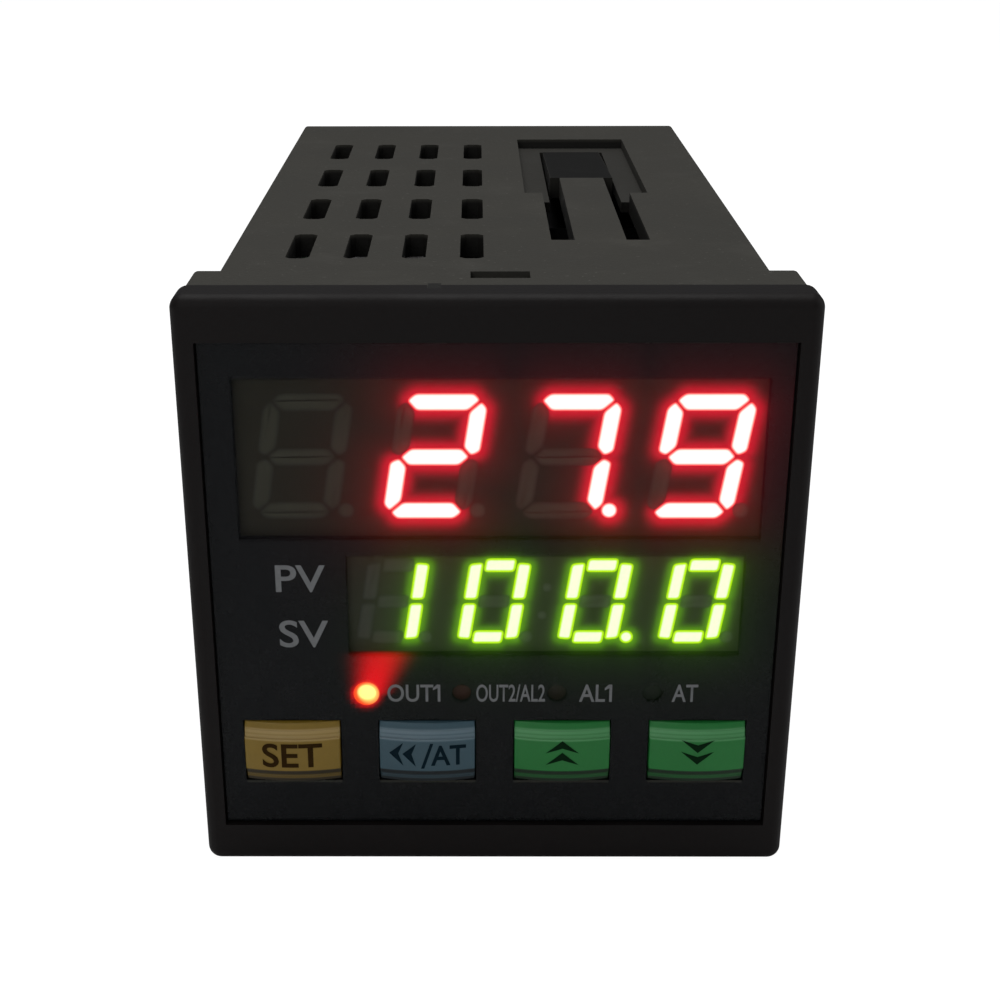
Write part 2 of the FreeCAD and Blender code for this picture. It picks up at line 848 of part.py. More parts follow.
SEGMENTS = {
    "0": "abcdef", "1": "bc", "2": "abged", "7": "abc", "9": "abcdfg", " ": "",
}


def segment_outlines(width, height, stroke, gap):
    """Corner points of the seven bars of an upright digit about its centre."""
    w, h, t = width / 2, height / 2, stroke
    c = t / 2
    top = [(gap + c - w, h), (w - gap - c, h), (w - gap - c / 2, h - c / 2), (w - gap - t, h - t),
           (gap + t - w, h - t), (gap + c / 2 - w, h - c / 2)]
    side = [(-w, h - gap - c), (c / 2 - w, h - gap - c / 2), (t - w, h - gap - t), (t - w, t / 2 + gap),
            (t / 2 - w, gap), (-w, gap + t / 4)]
    bar = [(gap + t / 2 - w, 0), (gap + t - w, t / 2), (w - gap - t, t / 2), (w - gap - t / 2, 0),
           (w - gap - t, -t / 2), (gap + t - w, -t / 2)]
    return {
        "a": top,
        "b": [(-x, y) for x, y in side],
        "c": [(-x, -y) for x, y in side],
        "d": [(x, -y) for x, y in top],
        "e": [(x, -y) for x, y in side],
        "f": side,
        "g": bar,
    }


def light_guides(prefix, rise, shown, point_after):
    """Lit and unlit guides of a display, as two groups of solids."""
    size = {key: getattr(s, f"{prefix}_{key}").number for key in (
        "shift", "pitch", "digit_width", "digit_height", "stroke", "point", "point_shift")}
    front = GUIDE_FRONT.number
    lean = math.tan(math.radians(s.digit_slant.number))
    bars = segment_outlines(size["digit_width"], size["digit_height"], size["stroke"], s.segment_gap.number)
    lit, unlit = [], []
    push = FreeCAD.Vector(0, s.guide_depth.number, 0)

    def place(middle, x, y):
        return FreeCAD.Vector(middle + x + y * lean, front, rise.number + y)

    def plate(ring):
        return Part.Face(Part.makePolygon(ring + ring[:1])).extrude(push)

    def dot(middle, x, y, radius):
        centre = place(middle, x, y)
        angles = [2 * math.pi * side / POINT_SIDES for side in range(POINT_SIDES)]
        return plate([centre + FreeCAD.Vector(math.cos(a), 0, math.sin(a)) * radius for a in angles])

    for index in range(DIGITS):
        middle = size["shift"] + size["pitch"] * (index - (DIGITS - 1) / 2)
        for name, corners in bars.items():
            bar = plate([place(middle, x, y) for x, y in corners])
            (lit if name in SEGMENTS[shown[index]] else unlit).append(bar)
        point_y = size["stroke"] / 2 - size["digit_height"] / 2
        point = dot(middle, size["point_shift"], point_y, size["point"])
        (lit if index == point_after else unlit).append(point)
    if prefix == "sv":
        for height in (s.sv_colon_rise.number, -s.sv_colon_rise.number):
            unlit.append(dot(size["shift"], 0, height, s.sv_colon.number))
    groups = []
    for name, solids in (("lit", lit), ("unlit", unlit)):
        label = f"{prefix}_{name}_segments"
        feature = doc.addObject("Part::Feature", label)
        feature.Label = label
        feature.Shape = Part.makeCompound(solids)
        feature.Placement = FreeCAD.Placement()
        groups.append(feature)
    return groups


def make_display(prefix, width, height, shift, rise, shown, point_after):
    housing_depth = (GUIDE_BACK, BOARD_FRONT)
    housing = block(f"{prefix}_display_housing", centred(width, shift), housing_depth, centred(height, rise))
    return [housing, *light_guides(prefix, rise, shown, point_after)]


# Status lamps: round lamps with a bevelled tip, soldered to the display board

def make_lamp(name, index):
    body = new_body(f"{name}_lamp")
    tip = FILM_BACK + s.lamp_sink
    profile = new_sketch(body, f"{name}_profile", UP, lamp_middle(index))
    axis_z = LAMP_RISE
    draw_outline(profile, [
        (tip, axis_z),
        (BOARD_FRONT, axis_z),
        (BOARD_FRONT, axis_z + s.lamp_radius),
        (tip + s.lamp_bevel, axis_z + s.lamp_radius),
        (tip, axis_z + s.lamp_radius - s.lamp_bevel),
    ])
    turned = body.newObject("PartDesign::Revolution", f"{name}_turned")
    turned.Profile = profile
    turned.ReferenceAxis = (profile, ["Edge1"])
    turned.Angle = 360
    return body


# Boards: the display board across the front, and two side boards in the guides

def make_boards():
    half = MOUTH_HALF - s.board_gap
    plain = block("display_board_blank", centred(half * 2), (BOARD_FRONT, BOARD_BACK), centred(half * 2))
    notch_floor = SKIRT_HALF - s.skirt_wall - s.board_gap
    depth = (BOARD_FRONT, BOARD_BACK)
    notches = []
    for name, shift, z in (
        ("top", s.hook_shift, (notch_floor, half)),
        ("bottom", -s.hook_shift, (-half, -notch_floor)),
    ):
        notches.append(block(f"{name}_notch", centred(s.window_width, shift), depth, z))
    display_board = cut("display_board", plain, grouped("board_notches", notches))

    tall = centred((BORE_HALF - s.board_edge_gap) * 2)
    run = (SIDE_BOARD_FRONT, SIDE_BOARD_BACK)
    power_board = block("power_board", (-SIDE_BOARD_OUT, -SIDE_BOARD_IN), run, tall)
    main_board = block("main_board", (SIDE_BOARD_IN, SIDE_BOARD_OUT), run, tall)
    return [display_board, power_board, main_board]


def make_header(name, side):
    """A strip of pins that joins the display board to a side board."""
    def across(near, far):
        right = (SIDE_BOARD_IN - far, SIDE_BOARD_IN - near)
        return right if side > 0 else (-right[1], -right[0])

    strip_back = BOARD_BACK + s.header_width
    pieces = [block(
        f"{name}_strip",
        across(ZERO, s.header_width),
        (BOARD_BACK, strip_back),
        centred(s.header_pins * s.header_pitch),
    )]
    for index in range(int(s.header_pins.number)):
        rise = s.header_pitch * index - (s.header_pins - 1) * s.header_pitch / 2
        tail = (strip_back, strip_back + s.header_tail)
        pin_z = centred(s.header_pin, rise)
        pieces.append(block(f"{name}_pin_{index + 1}", across(ZERO, s.header_pin), tail, pin_z))
    return fused(f"{name}_header", pieces)


# Parts on the side boards: they stand on the inner faces and reach towards the middle

CAN_SIDES = 16
CAPACITOR_Y, CAPACITOR_Z = s.capacitor_setback, -s.capacitor_drop
TRANSFORMER_Y = SIDE_BOARD_BACK / 2


def make_power_parts():
    start = -SIDE_BOARD_IN
    place = (start, CAPACITOR_Y, CAPACITOR_Z)
    capacitor = rod("mains_capacitor", "X", s.capacitor_radius, place, s.capacitor_length, CAN_SIDES)
    output_place = (start, SIDE_BOARD_BACK - s.output_capacitor_setback, s.output_capacitor_rise)
    radius, length = s.output_capacitor_radius, s.output_capacitor_length
    output_capacitor = rod("output_capacitor", "X", radius, output_place, length, CAN_SIDES)

    limb = s.core_limb
    stand = (start + limb, start + limb + s.core_width)
    core_y = centred(s.core_length, TRANSFORMER_Y)
    core_z = centred(s.core_height)
    outside = block("core_outside", stand, core_y, core_z)
    spare = (s.core_length - limb * 3) / 2
    holes = []
    for name, shift in (("front", -(limb + spare) / 2), ("rear", (limb + spare) / 2)):
        hole_y = centred(spare, TRANSFORMER_Y + shift)
        holes.append(block(f"core_{name}_hole", stand, hole_y, centred(s.core_height - limb * 2)))
    core = cut("transformer_core", outside, grouped("core_holes", holes))

    gap = s.winding_gap
    coil_x = (start, start + limb * 2 + s.core_width)
    coil_y = centred(s.core_length - limb * 2 - gap * 2, TRANSFORMER_Y)
    coil = block("winding_outside", coil_x, coil_y, centred(s.core_height - limb * 2 - gap * 2))
    limb_x = (stand[0] - gap, stand[1] + gap)
    limb_space = block("winding_limb_space", limb_x, centred(limb + gap * 2, TRANSFORMER_Y), core_z)
    winding = cut("transformer_winding", coil, limb_space)
    return [capacitor, output_capacitor, core, winding]


def make_main_parts():
    relay_y = (SIDE_BOARD_BACK - s.guide_length - s.relay_length, SIDE_BOARD_BACK - s.guide_length)
    relay_x = (SIDE_BOARD_IN - s.relay_height, SIDE_BOARD_IN)
    relays = []
    for index, name in enumerate(("out1", "al1", "al2")):
        relay_z = centred(s.relay_width, s.relay_pitch * (1 - index))
        relays.append(block(f"{name}_relay", relay_x, relay_y, relay_z))
    chip = block(
        "controller_chip",
        (SIDE_BOARD_IN - s.chip_height, SIDE_BOARD_IN),
        centred(s.chip_side, s.guide_start + s.guide_length + s.chip_side),
        centred(s.chip_side),
    )
    return relays + [chip]


# Terminal block: plugs into the rear of the sleeve, with two columns of screw terminals

BLOCK_BACK = CASE_BACK + s.block_lip + s.block_reach
PLUG_HALF = BORE_HALF - s.block_gap
CONTACT_SEAT = BLOCK_BACK - s.terminal_depth
CONTACT_BACK = CONTACT_SEAT + s.contact_thickness
WASHER_BACK = CONTACT_BACK + s.washer_thickness
FIRST_ROW = s.terminal_pitch * (1 - s.terminal_rows) / 2
TAB_NEAR = SIDE_BOARD_IN - s.tab_width
TERMINAL_MIDDLE = SIDE_BOARD_IN + s.contact_gap - s.terminal_width / 2
HEAD_SIDES = 12


def repeat_terminals(body, name, sketch, cutter, both=True):
    """Repeat a cut for every terminal of one column, or of both."""
    patterns = [row_of(body, name + "_rows", sketch, "V_Axis", s.terminal_pitch, s.terminal_rows)]
    if both:
        patterns.append(row_of(body, name + "_columns", sketch, "H_Axis", TERMINAL_MIDDLE * 2, as_size(2)))
    return repeat(body, name, [cutter], *patterns)


def make_terminal_block():
    body = new_body("terminal_block")
    plug = new_sketch(body, "plug", ACROSS, PLUG_FRONT)
    draw_rounded(plug, centred(PLUG_HALF * 2), centred(PLUG_HALF * 2), s.bore_corner)
    pad(body, plug, BLOCK_BACK - PLUG_FRONT)

    lip = new_sketch(body, "lip", ACROSS, CASE_BACK)
    lip_side = CASE_SIDE - s.block_lip_step * 2
    draw_rounded(lip, centred(lip_side), centred(lip_side), s.case_corner)
    pad(body, lip, s.block_lip)

    column = -TERMINAL_MIDDLE
    pit = new_sketch(body, "terminal_pit", ACROSS, CONTACT_SEAT)
    draw_rectangle(pit, centred(s.terminal_width, column), centred(s.terminal_height, FIRST_ROW))
    pit_pocket = pocket(body, pit, s.terminal_depth)
    repeat_terminals(body, "terminal_pits", pit, pit_pocket)

    hole = new_sketch(body, "screw_hole", ACROSS, CONTACT_BACK - s.screw_length)
    draw_polygon(hole, (column, FIRST_ROW), s.screw_radius + s.screw_gap)
    hole_pocket = pocket(body, hole, s.screw_length)
    repeat_terminals(body, "screw_holes", hole, hole_pocket)

    for name, side in (("left", -1), ("right", 1)):
        tab = new_sketch(body, f"{name}_tab_slot", ACROSS, PLUG_FRONT)
        near, far = TAB_NEAR - s.tab_gap, SIDE_BOARD_IN + s.tab_gap
        ends = (near, far) if side > 0 else (-far, -near)
        draw_rectangle(tab, ends, centred(s.tab_width + s.tab_gap * 2, FIRST_ROW))
        tab_pocket = pocket(body, tab, CONTACT_SEAT - PLUG_FRONT)
        repeat_terminals(body, f"{name}_tab_slots", tab, tab_pocket, both=False)

    duct = new_sketch(body, "duct", ACROSS, PLUG_FRONT)
    draw_rectangle(duct, centred(s.duct_width), centred(s.duct_height))
    pocket(body, duct, BLOCK_BACK - s.duct_floor - PLUG_FRONT)

    slot = new_sketch(body, "duct_slot", ACROSS, BLOCK_BACK - s.duct_floor)
    first_slot = s.duct_slot_pitch * (1 - s.duct_slots) / 2
    draw_rectangle(slot, centred(s.duct_slot_width), centred(s.duct_slot_height, first_slot))
    slot_pocket = pocket(body, slot, s.duct_floor)
    slot_rows = row_of(body, "duct_slot_rows", slot, "V_Axis", s.duct_slot_pitch, s.duct_slots)
    repeat(body, "duct_slots", [slot_pocket], slot_rows)

    catch = new_sketch(body, "catch", ALONG, ZERO)
    window_back = CASE_BACK - s.catch_setback - s.catch_gap
    window_front = CASE_BACK - s.catch_setback - s.catch_length + s.catch_gap
    draw_outline(catch, [
        (PLUG_HALF, window_front),
        (PLUG_HALF + s.catch_nose, window_back),
        (PLUG_HALF, window_back),
    ])
    catch_pad = pad(body, catch, s.catch_width - s.catch_gap * 2, midplane=True)
    repeat(body, "catches", [catch_pad], half_turn(body, "catch_turn"))
    return body


def make_terminals():
    """Contacts, square washers and screws, one of each in every pit."""
    contacts, washers, screws = [], [], []
    contact_height = s.terminal_height - s.contact_gap * 2
    for side, column in ((-1, "left"), (1, "right")):
        middle = TERMINAL_MIDDLE * side
        tab_x = (TAB_NEAR, SIDE_BOARD_IN) if side > 0 else (-SIDE_BOARD_IN, -TAB_NEAR)
        for index in range(int(s.terminal_rows.number)):
            name = f"{column}_{index + 1}"
            rise = FIRST_ROW + s.terminal_pitch * index
            plate_x = centred(s.terminal_width - s.contact_gap * 2, middle)
            plate_y, tab_y = (CONTACT_SEAT, CONTACT_BACK), (CONTACT_SEAT - s.tab_length, CONTACT_SEAT)
            plate = block(f"{name}_plate", plate_x, plate_y, centred(contact_height, rise))
            tab = block(f"{name}_tab", tab_x, tab_y, centred(s.tab_width, rise))
            whole = fused(f"{name}_contact_blank", [plate, tab])
            hole_start = (middle, CONTACT_SEAT, rise)
            hole_radius = s.screw_radius + s.screw_gap
            hole = rod(f"{name}_contact_hole", "Y", hole_radius, hole_start, s.contact_thickness, HOLE_SIDES)
            contacts.append(cut(f"{name}_contact", whole, hole))

            square = centred(s.washer_side, middle), (CONTACT_BACK, WASHER_BACK), centred(s.washer_side, rise)
            washer_start = (middle, CONTACT_BACK, rise)
            washer_hole = rod(
                f"{name}_washer_hole", "Y", hole_radius, washer_start, s.washer_thickness, HOLE_SIDES)
            washers.append(cut(f"{name}_washer", block(f"{name}_washer_blank", *square), washer_hole))

            shank_start = (middle, WASHER_BACK - s.screw_length, rise)
            shank = rod(f"{name}_shank", "Y", s.screw_radius, shank_start, s.screw_length, HOLE_SIDES)
            head_start = (middle, WASHER_BACK, rise)
            head = rod(f"{name}_head", "Y", s.head_radius, head_start, s.head_height, HEAD_SIDES)
            head_back = WASHER_BACK + s.head_height
            slot_y = (head_back - s.cross_depth, head_back)
            long_x, short_x = centred(s.cross_length, middle), centred(s.cross_width, middle)
            long_z, short_z = centred(s.cross_length, rise), centred(s.cross_width, rise)
            level = block(f"{name}_level_slot", long_x, slot_y, short_z)
            upright = block(f"{name}_upright_slot", short_x, slot_y, long_z)
            cross = fused(f"{name}_cross", [level, upright])
            screws.append(cut(f"{name}_screw", fused(f"{name}_screw_blank", [shank, head]), cross))
    return [
        grouped("terminal_contacts", contacts),
        grouped("terminal_washers", washers),
        grouped("terminal_screws", screws),
    ]


# The whole controller, one entry for each node

def make_controller():
    nodes = [make_sleeve(), make_bezel(), make_film()]
    for index, name in enumerate(KEYS):
        nodes.append(make_key(name, index))
        nodes.extend(make_switch(name, index))
    nodes.extend(make_display("pv", s.pv_width, s.pv_height, s.pv_shift, PV_RISE, " 279", 2))
    nodes.extend(make_display("sv", s.sv_width, s.sv_height, s.sv_shift, SV_RISE, "1000", 2))
    for index, name in enumerate(LAMPS):
        nodes.append(make_lamp(name, index))
    nodes.extend(make_boards())
    nodes.append(make_header("left", -1))
    nodes.append(make_header("right", 1))
    nodes.extend(make_power_parts())
    nodes.extend(make_main_parts())
    nodes.append(make_terminal_block())
    nodes.extend(make_terminals())
    return nodes


def check(nodes):
    """Stop if anything failed to build, because a recompute does not raise by itself."""
    failed = [item.Name for item in doc.Objects if {"Invalid", "Error"} & set(item.State)]
    failed += [node.Label for node in nodes if node.Shape.isNull() or not node.Shape.isValid()]
    if failed:
        raise ValueError(f"not built: {failed}")


nodes = make_controller()
doc.recompute()
check(nodes)
os.makedirs("parts", exist_ok=True)
for node in nodes:
    node.Shape.exportStep(f"parts/{node.Label}.step")
    print(f"{node.Label}: {len(node.Shape.Solids)} solids, {node.Shape.Volume / 1000:.3f} cm3")
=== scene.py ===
import math

import bmesh
import bpy
import numpy as np
from mathutils import Matrix, Vector


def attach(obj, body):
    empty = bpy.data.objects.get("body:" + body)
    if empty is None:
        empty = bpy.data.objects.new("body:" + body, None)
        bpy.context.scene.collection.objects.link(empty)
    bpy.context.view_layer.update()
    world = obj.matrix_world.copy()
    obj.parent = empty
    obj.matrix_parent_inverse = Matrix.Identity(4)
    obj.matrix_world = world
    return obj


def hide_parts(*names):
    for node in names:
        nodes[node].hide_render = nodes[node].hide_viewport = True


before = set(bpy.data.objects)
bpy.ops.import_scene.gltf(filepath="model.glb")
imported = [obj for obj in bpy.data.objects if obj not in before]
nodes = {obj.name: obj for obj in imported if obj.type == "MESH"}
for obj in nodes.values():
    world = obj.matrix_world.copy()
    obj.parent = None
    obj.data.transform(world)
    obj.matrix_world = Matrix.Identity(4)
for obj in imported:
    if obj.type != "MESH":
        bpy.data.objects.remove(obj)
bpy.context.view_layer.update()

# A panel-mounted temperature controller with a square smoked front, seen from the front and above.
# X runs to the right, Y into the panel and Z up, with the centre of the panel seat at zero.


# Camera and studio: a camera close in front of the face, above it and tilted down.
# Its distance, tilt and shift were fitted to the straight edges of the bezel and the case.

scene = bpy.context.scene
scene.view_settings.view_transform = "Standard"

mm = 0.001
CAMERA_PLACE = (-1.6, -133.1, 54.1)
turn, tilt, roll = math.radians(-0.30), math.radians(24.25), math.radians(0.12)
ahead = Vector((math.sin(turn) * math.cos(tilt), math.cos(turn) * math.cos(tilt), -math.sin(tilt)))
level = Vector((math.cos(turn), -math.sin(turn), 0.0))
right = level * math.cos(roll) + ahead.cross(level) * math.sin(roll)
up = right.cross(ahead)
lens = bpy.data.cameras.new("front_camera")
lens.sensor_width = 36.0
lens.lens = 61.92
lens.shift_x = 0.0332
lens.shift_y = 0.115
lens.clip_start = 0.005
camera = bpy.data.objects.new("front_camera", lens)
camera.matrix_world = Matrix.Translation(Vector(CAMERA_PLACE) * mm) @ Matrix(
    (right, up, -ahead)).transposed().to_4x4()
scene.collection.objects.link(camera)
scene.camera = camera

world = bpy.data.worlds.new("studio")
world.use_nodes = True
scene.world = world
air = world.node_tree
air.nodes.clear()
seen = air.nodes.new("ShaderNodeLightPath")
soft = air.nodes.new("ShaderNodeBackground")
soft.inputs["Color"].default_value = (0.93, 0.96, 1.0, 1.0)
soft.inputs["Strength"].default_value = 0.15
white = air.nodes.new("ShaderNodeBackground")
pick = air.nodes.new("ShaderNodeMixShader")
sky = air.nodes.new("ShaderNodeOutputWorld")
white.inputs["Color"].default_value = (1.0, 1.0, 1.0, 1.0)
air.links.new(seen.outputs["Is Camera Ray"], pick.inputs[0])
air.links.new(soft.outputs[0], pick.inputs[1])
air.links.new(white.outputs[0], pick.inputs[2])
air.links.new(pick.outputs[0], sky.inputs["Surface"])

for name, place, aim, size, watts in (
    ("top_softbox", (-60, 90, 520), (0, 30, 0), 420, 1.75),
    ("front_softbox", (-180, -520, 260), (0, 0, 0), 300, 0.55),
    ("right_softbox", (480, 60, 180), (0, 40, 0), 260, 0.4),
):
    softbox = bpy.data.lights.new(name, "AREA")
    softbox.size = size * mm
    softbox.energy = watts
    box_light = bpy.data.objects.new(name, softbox)
    box_light.location = Vector(place) * mm
    box_light.rotation_euler = (Vector(aim) - Vector(place)).to_track_quat("-Z", "Y").to_euler()
    scene.collection.objects.link(box_light)


class Value:
    """What one socket of a material gives at each point of a surface."""

    def __init__(self, finish, socket):
        self.finish = finish
        self.socket = socket

    def __add__(self, other):
        return self.finish.sum("ADD", self, other)

    def __radd__(self, other):
        return self.finish.sum("ADD", other, self)

    def __sub__(self, other):
        return self.finish.sum("SUBTRACT", self, other)

    def __rsub__(self, other):
        return self.finish.sum("SUBTRACT", other, self)

    def __mul__(self, other):
        return self.finish.sum("MULTIPLY", self, other)

    def __rmul__(self, other):
        return self.finish.sum("MULTIPLY", other, self)

    def __rtruediv__(self, other):
        return self.finish.sum("DIVIDE", other, self)

    def __pow__(self, other):
        return self.finish.sum("POWER", self, other)

    def __gt__(self, other):
        return self.finish.sum("GREATER_THAN", self, other)

    def __abs__(self):
        return self.finish.sum("ABSOLUTE", self, 0.0)


class Finish:
    """One material of the controller, put together node by node."""

    def __init__(self, name):
        self.material = bpy.data.materials.new(name)
        self.material.use_nodes = True
        self.tree = self.material.node_tree
        self.tree.nodes.clear()

    def node(self, kind, settings, inputs, out=0):
        """Add a node, with its settings and the numbers or links of its sockets, and give one output."""
        made = self.tree.nodes.new(kind)
        for key, setting in settings.items():
            setattr(made, key, setting)
        for key, given in inputs.items():
            if isinstance(given, Value):
                self.tree.links.new(given.socket, made.inputs[key])
            elif given is not None:
                made.inputs[key].default_value = given
        return Value(self, made.outputs[out]) if made.outputs else None

    def sum(self, operation, first, second):
        return self.node("ShaderNodeMath", {"operation": operation}, {0: first, 1: second})

    def between(self, share, first, second):
        """A colour that goes from the first to the second with the share."""
        tones = [tone if isinstance(tone, Value) else (*tone, 1.0) for tone in (first, second)]
        return self.node("ShaderNodeMix", {"data_type": "RGBA"}, {0: share, 6: tones[0], 7: tones[1]}, 2)

    def ramp(self, value, low, high):
        """0 below low, 1 above high, and smooth in between."""
        return self.node("ShaderNodeMapRange", {"interpolation_type": "SMOOTHSTEP"}, {
            "Value": value, "From Min": low, "From Max": high})

    def within(self, value, middle, half, soft):
        """1 where the value is within half of its middle, and 0 past a soft edge."""
        return 1.0 - self.ramp(abs(value - middle), half - soft, half + soft)

    def place(self):
        return self.node("ShaderNodeTexCoord", {}, {}, "Object")

    def axes(self):
        split = self.node("ShaderNodeSeparateXYZ", {}, {"Vector": self.place()})
        return [Value(self, out) for out in split.socket.node.outputs]

    def noise(self, per_metre, detail=2.0, rough=0.5):
        return self.node("ShaderNodeTexNoise", {}, {
            "Vector": self.place(), "Scale": per_metre, "Detail": detail, "Roughness": rough}, "Fac")

    def kept(self, name):
        """A number stored at each corner of a mesh."""
        return self.node("ShaderNodeAttribute", {"attribute_name": name}, {}, "Fac")

    def bump(self, height, strength, depth):
        return self.node("ShaderNodeBump", {}, {
            "Height": height, "Strength": strength, "Distance": depth}, "Normal")

    def done(self, inputs):
        tones = {key: (*given, 1.0) if isinstance(given, tuple) else given for key, given in inputs.items()}
        surface = self.node("ShaderNodeBsdfPrincipled", {}, tones)
        self.node("ShaderNodeOutputMaterial", {}, {"Surface": surface})
        return self.material


# The floor glows to the camera, but not under the case, where the vents look down on it.
FLOOR_Z, FLOOR_REACH = -24.02, 4000.0
SHADE_Y, SHADE_HALF_X, SHADE_HALF_Y = 41.0, 20.0, 36.0
floor_finish = Finish("pale_floor")
matt = floor_finish.node("ShaderNodeBsdfDiffuse", {}, {"Color": (0.86, 0.86, 0.86, 1.0)})
glow = floor_finish.node("ShaderNodeEmission", {}, {"Color": (1.0, 1.0, 1.0, 1.0), "Strength": 1.22})
in_view = floor_finish.node("ShaderNodeLightPath", {}, {}, "Is Camera Ray")
floor_x, floor_y = floor_finish.axes()[:2]
under = floor_finish.within(floor_x, 0.0, SHADE_HALF_X * mm, mm) * floor_finish.within(
    floor_y, SHADE_Y * mm, SHADE_HALF_Y * mm, mm)
floor_mix = floor_finish.node("ShaderNodeMixShader", {}, {0: in_view * 0.8 * (1.0 - under), 1: matt, 2: glow})
floor_finish.node("ShaderNodeOutputMaterial", {}, {"Surface": floor_mix})
floor_mesh = bpy.data.meshes.new("floor")
floor_mesh.from_pydata([Vector((x * FLOOR_REACH, y * FLOOR_REACH, FLOOR_Z)) * mm for x, y in (
    (-1, -1), (1, -1), (1, 1), (-1, 1))], [], [(0, 1, 2, 3)])
floor_mesh.materials.append(floor_finish.material)
floor = bpy.data.objects.new("floor", floor_mesh)
scene.collection.objects.link(floor)


# Case sleeve: one dark grey plastic moulding with a fine spark-eroded grain on its outside.
# The flange, tongue, recess and vents are the solid's own, with its curved edges made smooth.

# Each patch of the sleeve: its middle and half width along X, then along Y.
RECESS = (9.33, 6.1, 55.15, 16.2)
TONGUE_HEAD = (9.33, 3.2, 57.6, 10.8)
# The flange patch is a painted shadow, not a change in the plastic.
FLANGE_NOTCH_SHADOW = (-4.65, 0.5, -5.5, 1.1)
NOTCH_FOOT_Z = 23.0


def toned(tone, share):
    """The colour made darker or paler by one factor."""
    return tuple(min(1.0, part * share) for part in tone)


def moulded(name, tone, grain, depth, rough=0.62, shine=0.32, inside=None):
    """Matt moulded plastic: grain, faint clouding and worn patches that are a little smoother.

    Inside is the half width, in mm, past which the sleeve faces the room; faces nearer the middle, and the
    recess floor, get painted shade. The sleeve also has dust on its top, a painted shadow at a notch in its
    flange, and a tongue head painted darker as shade, with no grain and a rougher finish.
    """
    finish = Finish(name)
    cloud = finish.ramp(finish.noise(75.0, 4.0, 0.6), 0.35, 0.7)
    speck = finish.noise(grain, 2.0, 0.6)
    colour = finish.between(cloud * 0.4 + speck * 0.6, toned(tone, 0.84), toned(tone, 1.14))
    bumps = speck
    matter = 0.0
    if inside:
        lint = finish.ramp(finish.noise(2600.0, 1.0), 0.72, 0.78)
        dust = finish.ramp(finish.noise(160.0, 5.0, 0.65), 0.5, 0.8)
        upward = finish.node("ShaderNodeSeparateXYZ", {}, {
            "Vector": finish.node("ShaderNodeNewGeometry", {}, {}, "Normal")}, 2)
        colour = finish.between((lint * 0.25 + dust * 0.06) * (upward > 0.5), colour, (0.23, 0.22, 0.20))
        x, y, z = finish.axes()
        side = finish.node("ShaderNodeMath", {"operation": "SIGN"}, {0: z})
        reach = finish.sum("MAXIMUM", abs(x), abs(z))

        def patch(across, middle_x, half_x, middle_y, half_y, edge=0.1):
            return finish.within(across, middle_x * mm, half_x * mm, edge * mm) * finish.within(
                y, middle_y * mm, half_y * mm, edge * mm)

        # Painted shade: faces inside the outer skin, such as vent walls, inner walls and the recess floor,
        # are made dark.
        recess = patch(x * side, *RECESS)
        outside = finish.ramp(reach, (inside - 0.4) * mm - recess * 1.4 * mm, inside * mm - recess * 0.2 * mm)
        colour = finish.between(outside, toned(tone, 0.25), colour)
        # Painted shadow: a dark spot on the flange's top behind the notch, where it looks into shade.
        notch = patch(x, *FLANGE_NOTCH_SHADOW, edge=0.05) * (z > NOTCH_FOOT_Z * mm)
        colour = finish.between(notch, colour, toned(tone, 0.2))
        # Painted shade: the tongue head is made far darker; it also loses its grain and is rougher.
        head = patch(x * side, *TONGUE_HEAD)
        colour = finish.between(head, colour, toned(tone, 0.06))
        bumps = speck * (1.0 - head)
        matter = head * 0.3
    wear_and_highlight = finish.ramp(finish.noise(38.0, 3.0, 0.55), 0.55, 0.8)
    return finish.done({
        "Base Color": colour,
        "Roughness": rough + cloud * 0.10 - wear_and_highlight * 0.09 + matter,
        "Specular IOR Level": shine,
        "Normal": finish.bump(bumps, 0.42, depth),
    })


def show(name, mesh, material, body, *stands_for):
    """Put a finished mesh on its body, in place of the named solids."""
    if material:
        mesh.materials.clear()
        mesh.materials.append(material)
    piece = bpy.data.objects.new(name, mesh)
    scene.collection.objects.link(piece)
    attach(piece, body)
    if stands_for:
        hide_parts(*stands_for)
    return piece


def smooth_copy(node, name, crease=32.0):
    """A merged copy of a solid whose curves shade smooth and whose flats stay flat."""
    mesh = nodes[node].data.copy()
    joined = bmesh.new()
    joined.from_mesh(mesh)
    bmesh.ops.remove_doubles(joined, verts=joined.verts, dist=1e-6)
    bmesh.ops.dissolve_degenerate(joined, edges=joined.edges, dist=1e-7)
    for edge in joined.edges:
        edge.smooth = len(edge.link_faces) == 2 and edge.calc_face_angle(0.0) < math.radians(crease)
    for face in joined.faces:
        face.smooth = True
    joined.to_mesh(mesh)
    joined.free()
    blank = bpy.data.objects.new(name + "_blank", mesh)
    scene.collection.objects.link(blank)
    weights = blank.modifiers.new("weights", "WEIGHTED_NORMAL")
    weights.keep_sharp = True
    ready = bpy.context.evaluated_depsgraph_get()
    result = bpy.data.meshes.new_from_object(blank.evaluated_get(ready))
    bpy.data.objects.remove(blank)
    result.name = name
    return result


case_plastic = moulded(
    "case_plastic", (0.041, 0.0385, 0.0315), grain=3000.0, depth=0.00007, rough=0.66, shine=0.26,
    inside=22.36)
show("sleeve_moulding", smooth_copy("case_sleeve", "sleeve_moulding"), case_plastic, "case", "case_sleeve")


# Boards and the parts on them, seen only through the vents and from the rear.
# Green masked boards carry a supply on the left and relays and a processor on the right.

